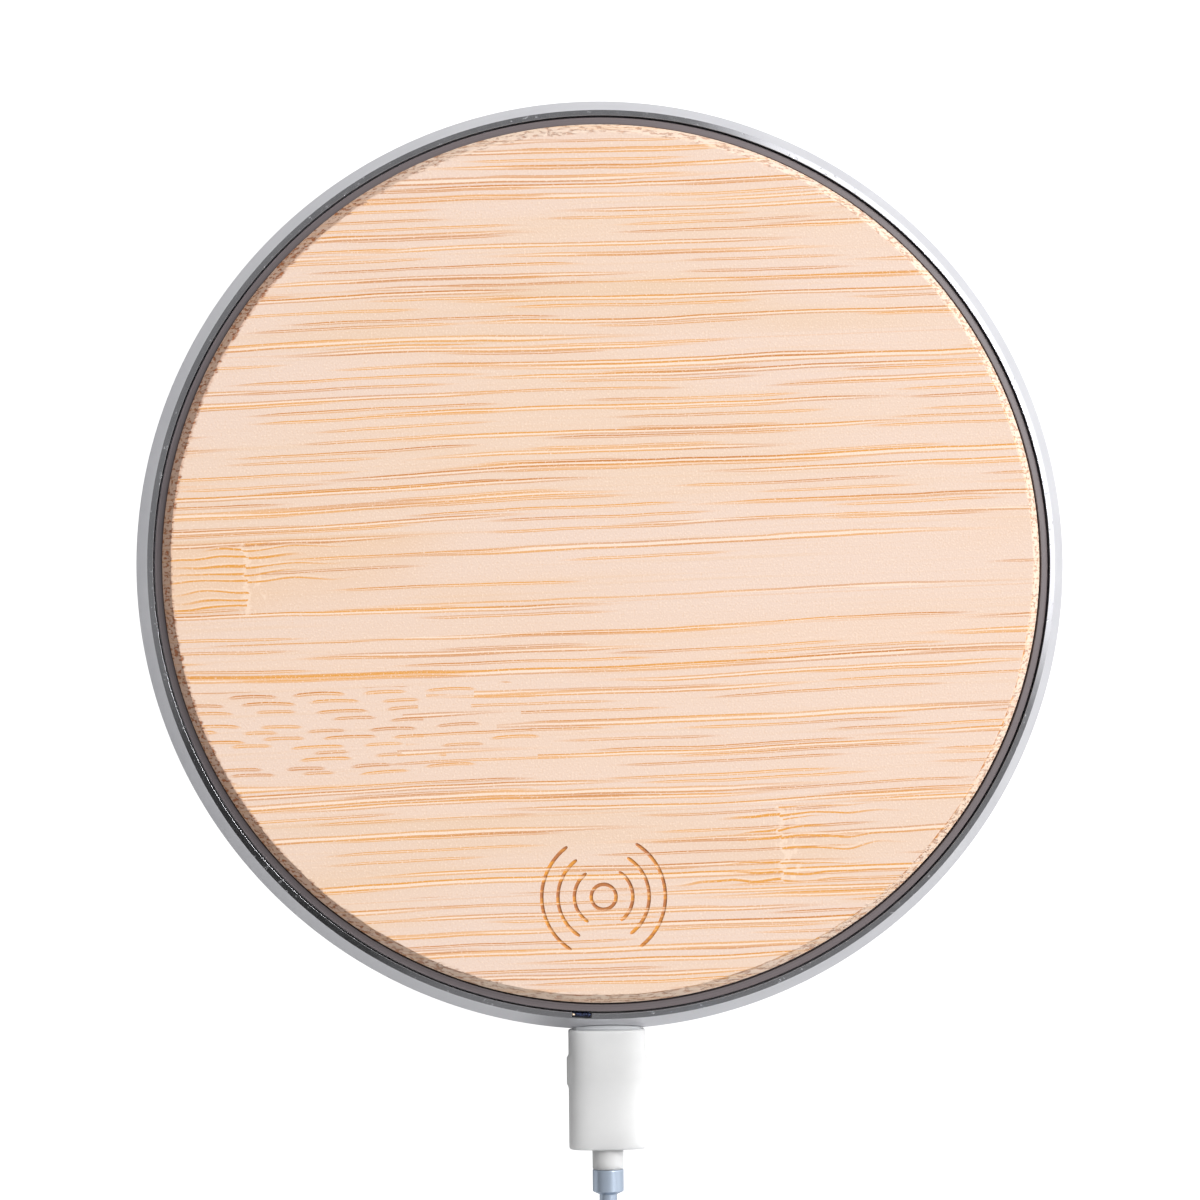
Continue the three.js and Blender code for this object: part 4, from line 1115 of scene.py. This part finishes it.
def make_far_insulator():
    """The tongue in the shell, with four gold contacts."""
    end = A_BOOT["length"] + A_GRIP["length"] + A_SHELL["length"] - 0.6
    start = A_BOOT["length"] + A_GRIP["length"] + 0.6
    half, low = A_SHELL["tongue_half"], A_SHELL["tongue_low"]
    section = [(-start, low, 0), (-end, low, 0.15), (-end, -0.35, 0.1), (-end + 0.5, 0, 0.1), (-start, 0, 0)]
    outline = rounded(section)
    rings = [[(x, y, z) for y, z in shrunk(outline, inset)]
             for x, inset in ((-half, 0.12), (-half + 0.12, 0), (half - 0.12, 0), (half, 0.12))]
    tongue = loft("usb_a_insulator", rings, "black_plastic")
    stand_for(along_cable_end(tongue), "black_plastic", "usb_a_insulator", body="cable")
    tip = -end + 1.2
    for i, (x, reach) in enumerate(A_CONTACTS):
        strip = [(tip, -0.06), (tip + reach, -0.06), (tip + reach, 0.05), (-end + 1.4, 0.07), (tip, 0.02)]
        rings = [[(x + side * 0.5, y, z) for y, z in strip] for side in (-1, 1)]
        contact = loft(f"usb_a_contact_{i + 1}", rings, "gold")
        stand_for(along_cable_end(contact), "copper_wire", body="cable")


def ribbon_ring(centre, outward, half_width):
    """The flat tie's section at one point of its path: a thin ribbon with a wire along its middle."""
    section = [(across * half_width, thick) for across, thick in TIE_SECTION]
    section += [(across, -thick) for across, thick in reversed(section)]
    return [(centre[0] + outward[0] * thick, centre[1] + across, centre[2] + outward[1] * thick)
            for across, thick in section]


def make_tie():
    """A twist tie: a loop round the wound cord, with its two tails twisted together on the far side."""
    low_x, high_x, top = TIE_LOOP["inner"], TIE_LOOP["outer"], TIE_LOOP["top"]
    middle = TIE_LOOP["half_thickness"]
    corners = ((low_x, top), (low_x, middle), (high_x, middle), (high_x, top))
    path = rounded([(*corner, TIE_LOOP["corner"]) for corner in corners])
    rings = []
    for i, (x, z) in enumerate(path):
        after, before = Vector(path[(i + 1) % len(path)]), Vector(path[i - 1])
        ahead = (after - before).normalized()
        centre = (COIL_CENTRE[0] + x, COIL_CENTRE[1], z)
        rings.append(ribbon_ring(centre, (ahead.y, -ahead.x), TIE_LOOP["half_width"]))
    loop = loft("cord_tie", rings, "tie_plastic", looped=True)
    stand_for(loop, "tie_plastic", "cord_tie", body="cable")
    for tail in (0, 1):
        steps = TIE_TAIL["steps"]
        rings = [tail_ring(k / steps, tail) for k in range(steps + 1)]
        piece = loft(f"cord_tie_tail_{tail + 1}", rings, "tie_plastic")
        stand_for(piece, "tie_plastic", body="cable")


def tail_ring(t, tail):
    """The section of one of the two tails at the share t of its length: twisted, then bent aside."""
    twisted, radius, half = TIE_TAIL["twisted"], TIE_TAIL["radius"], TIE_TAIL["half_width"]
    spread = max(0, t - twisted) / (1 - twisted)
    angle = math.pi * (2 * TIE_TAIL["turns"] * min(t, twisted) / twisted + tail)
    c, s = math.cos(angle), math.sin(angle)
    aside = (1 if tail else -1) * TIE_TAIL["spread"] * spread ** 1.5
    x = COIL_CENTRE[0] + TIE_LOOP["outer"] - 0.1 + TIE_TAIL["length"] * t
    y = COIL_CENTRE[1] + radius * c + aside
    z = TIE_TAIL["height"] + radius * s - TIE_TAIL["drop"] * t
    section = TIE_SECTION + [(a, -b) for a, b in reversed(TIE_SECTION)]
    return [(x, y + s * across * half + c * thick, z - c * across * half + s * thick)
            for across, thick in section]


# ---------------------------------------------------------------- the cord
def coil_places():
    """Radius and height of each turn: one layer goes inwards, the next outwards."""
    places = []
    for layer, turns in enumerate(COIL_LAYERS):
        half = (turns - 1) / 2
        offsets = [half - k for k in range(turns)]
        if layer % 2:
            offsets.reverse()
        z = COIL_Z + CORD_D / 2 + layer * COIL_PITCH
        places += [(COIL_MEAN_R + k * COIL_PITCH, z) for k in offsets]
    return places


def coil_points():
    """Anticlockwise turns from the coil's left side, and a last quarter turn to its front."""
    places = coil_places()
    total = len(places) * STEPS_PER_TURN + STEPS_PER_TURN // 4
    points = []
    for step in range(total + 1):
        turn, part = divmod(step / STEPS_PER_TURN, 1)
        here = places[min(int(turn), len(places) - 1)]
        after = places[min(int(turn) + 1, len(places) - 1)]
        t = max(0, (part - 1 + CROSSOVER) / CROSSOVER)
        ease = t * t * (3 - 2 * t)
        r, z = (a + (b - a) * ease for a, b in zip(here, after))
        angle = math.pi + 2 * math.pi * step / STEPS_PER_TURN
        points.append((COIL_CENTRE[0] + r * math.cos(angle), COIL_CENTRE[1] + r * math.sin(angle), z))
    return points


def make_cord():
    points = [*NEAR_ROUTE, *coil_points(), *FAR_ROUTE]
    data = bpy.data.curves.new("cable_cord", "CURVE")
    data.dimensions = "3D"
    data.bevel_depth = CORD_D / 2 * MM
    data.bevel_resolution = 6
    data.use_fill_caps = True
    spline = data.splines.new("POLY")
    spline.points.add(len(points) - 1)
    for target, point in zip(spline.points, points):
        target.co = (*(c * MM for c in point), 1)
    spline.use_smooth = True
    data.materials.append(MATERIALS["cord_jacket"])
    cord = bpy.data.objects.new("cable_cord", data)
    bpy.context.scene.collection.objects.link(cord)
    return stand_for(cord, "cord_jacket", "cord", "cord_tail", "cord_coil", body="cable")


# ---------------------------------------------------------------- the stage
FLOOR_HALF = 3000
FLOOR_GLOW = 1.5  # how bright the white is that the camera sees in the floor
FLOOR_GLOW_SHARE = 0.7
KEY = {"azimuth": 28, "elevation": 45, "distance": 2.0, "size": (0.92, 0.92), "power": 39.5}
FILL = {"azimuth": 286, "elevation": 38, "distance": 1.3, "size": (0.8, 0.5), "power": 1.3}
SKY_LOW = 0.19
SKY_HIGH = 0.52
BRIGHT_SECTOR = (-10, 68)  # azimuths of a bright card near the horizon, in degrees
DARK_SECTOR = (198, 246)  # azimuths of a dark card near the horizon
CARD_TOP = 0.43  # the cards' top edge, as the sine of its elevation
BRIGHT_CARD = 1.5  # what it adds to the surround
DARK_CARD = 0.85  # the share that it takes away


def floor_material():
    """Pale paper. The camera sees it a little overexposed, as a studio's white sweep is."""
    graph = material_graph("floor")
    graph.set(base_color=(0.7, 0.7, 0.7, 1), roughness=0.9)
    glow = graph.add("ShaderNodeEmission", {"Color": (1, 1, 1, 1), "Strength": FLOOR_GLOW})
    seen = graph.add("ShaderNodeLightPath").outputs["Is Camera Ray"]
    share = graph.times(seen, FLOOR_GLOW_SHARE)
    both = graph.add("ShaderNodeMixShader", {0: share, 1: graph.shader.outputs[0], 2: glow.outputs[0]})
    output = graph.tree.nodes["Material Output"]
    graph.tree.links.new(both.outputs[0], output.inputs["Surface"])
    return graph.owner


def make_floor():
    h = FLOOR_HALF
    floor = mesh_object("floor", [(-h, -h, 0), (h, -h, 0), (h, h, 0), (-h, h, 0)], [(0, 1, 2, 3)], "floor")


def area_light(name, azimuth, elevation, distance, size, power):
    """A soft box that faces the pad."""
    light = bpy.data.lights.new(name, "AREA")
    light.shape = "RECTANGLE"
    light.size, light.size_y = size
    light.energy = power
    lamp = bpy.data.objects.new(name, light)
    bpy.context.scene.collection.objects.link(lamp)
    a, e = math.radians(azimuth), math.radians(elevation)
    away = Vector((math.cos(a) * math.cos(e), math.sin(a) * math.cos(e), math.sin(e)))
    lamp.location = away * distance
    lamp.rotation_mode = "QUATERNION"
    lamp.rotation_quaternion = away.to_track_quat("Z", "Y")
    lamp.visible_camera = False


def sector(graph, azimuth, limits, soft=9):
    """1 between two azimuths in degrees, with soft ends."""
    rise = graph.smooth(azimuth, limits[0] - soft, limits[0] + soft)
    fall = graph.smooth(azimuth, limits[1] - soft, limits[1] + soft)
    return graph.minus(rise, fall)


def make_world():
    """A studio: pale overhead, greyer towards the horizon, with a bright card and a dark one."""
    world = bpy.data.worlds.new("studio")
    bpy.context.scene.world = world
    graph = Graph(world)
    direction = graph.add("ShaderNodeTexCoord").outputs["Generated"]
    x, y, z = graph.split(direction)
    azimuth = graph.math("DEGREES", graph.math("ARCTAN2", y, x))
    azimuth = graph.plus(azimuth, graph.times(graph.math("LESS_THAN", azimuth, -90.0), 360))
    low = graph.invert(graph.smooth(z, CARD_TOP - 0.05, CARD_TOP + 0.05))
    sky = graph.times_plus(graph.smooth(z, 0.0, 0.9), SKY_HIGH - SKY_LOW, SKY_LOW)
    bright = graph.times(sector(graph, azimuth, BRIGHT_SECTOR), low)
    dark = graph.times(sector(graph, azimuth, DARK_SECTOR), low)
    sky = graph.plus(sky, graph.times(bright, BRIGHT_CARD))
    sky = graph.times(sky, graph.times_plus(dark, -DARK_CARD, 1.0))
    background = world.node_tree.nodes["Background"]
    graph.plug(background.inputs["Color"], graph.join(sky, sky, sky))


def make_lights():
    make_world()
    for name, light in (("key", KEY), ("fill", FILL)):
        area_light(name, **light)
    bpy.context.scene.view_settings.view_transform = "Standard"


MATERIALS = make_materials()
make_camera()
cord = make_cord()
make_bamboo_disc()
make_top_housing()
make_case_ring()
make_bottom_cover()
make_rubber_foot()
make_light_pipe()
make_lamp_dot()
make_socket()
make_plug_shell()
make_plug_overmould()
make_strain_relief()
make_far_boot()
make_far_overmould()
make_far_shell()
make_far_insulator()
make_tie()
for name, node in NODES.items():
    slot = next(part["material_slot"] for part in frame["record"]["subparts"] if part["node"] == name)
    node.data.materials.clear()
    node.data.materials.append(MATERIALS["wound_copper" if name == "transmit_coil" else slot])
make_floor()
make_lights()
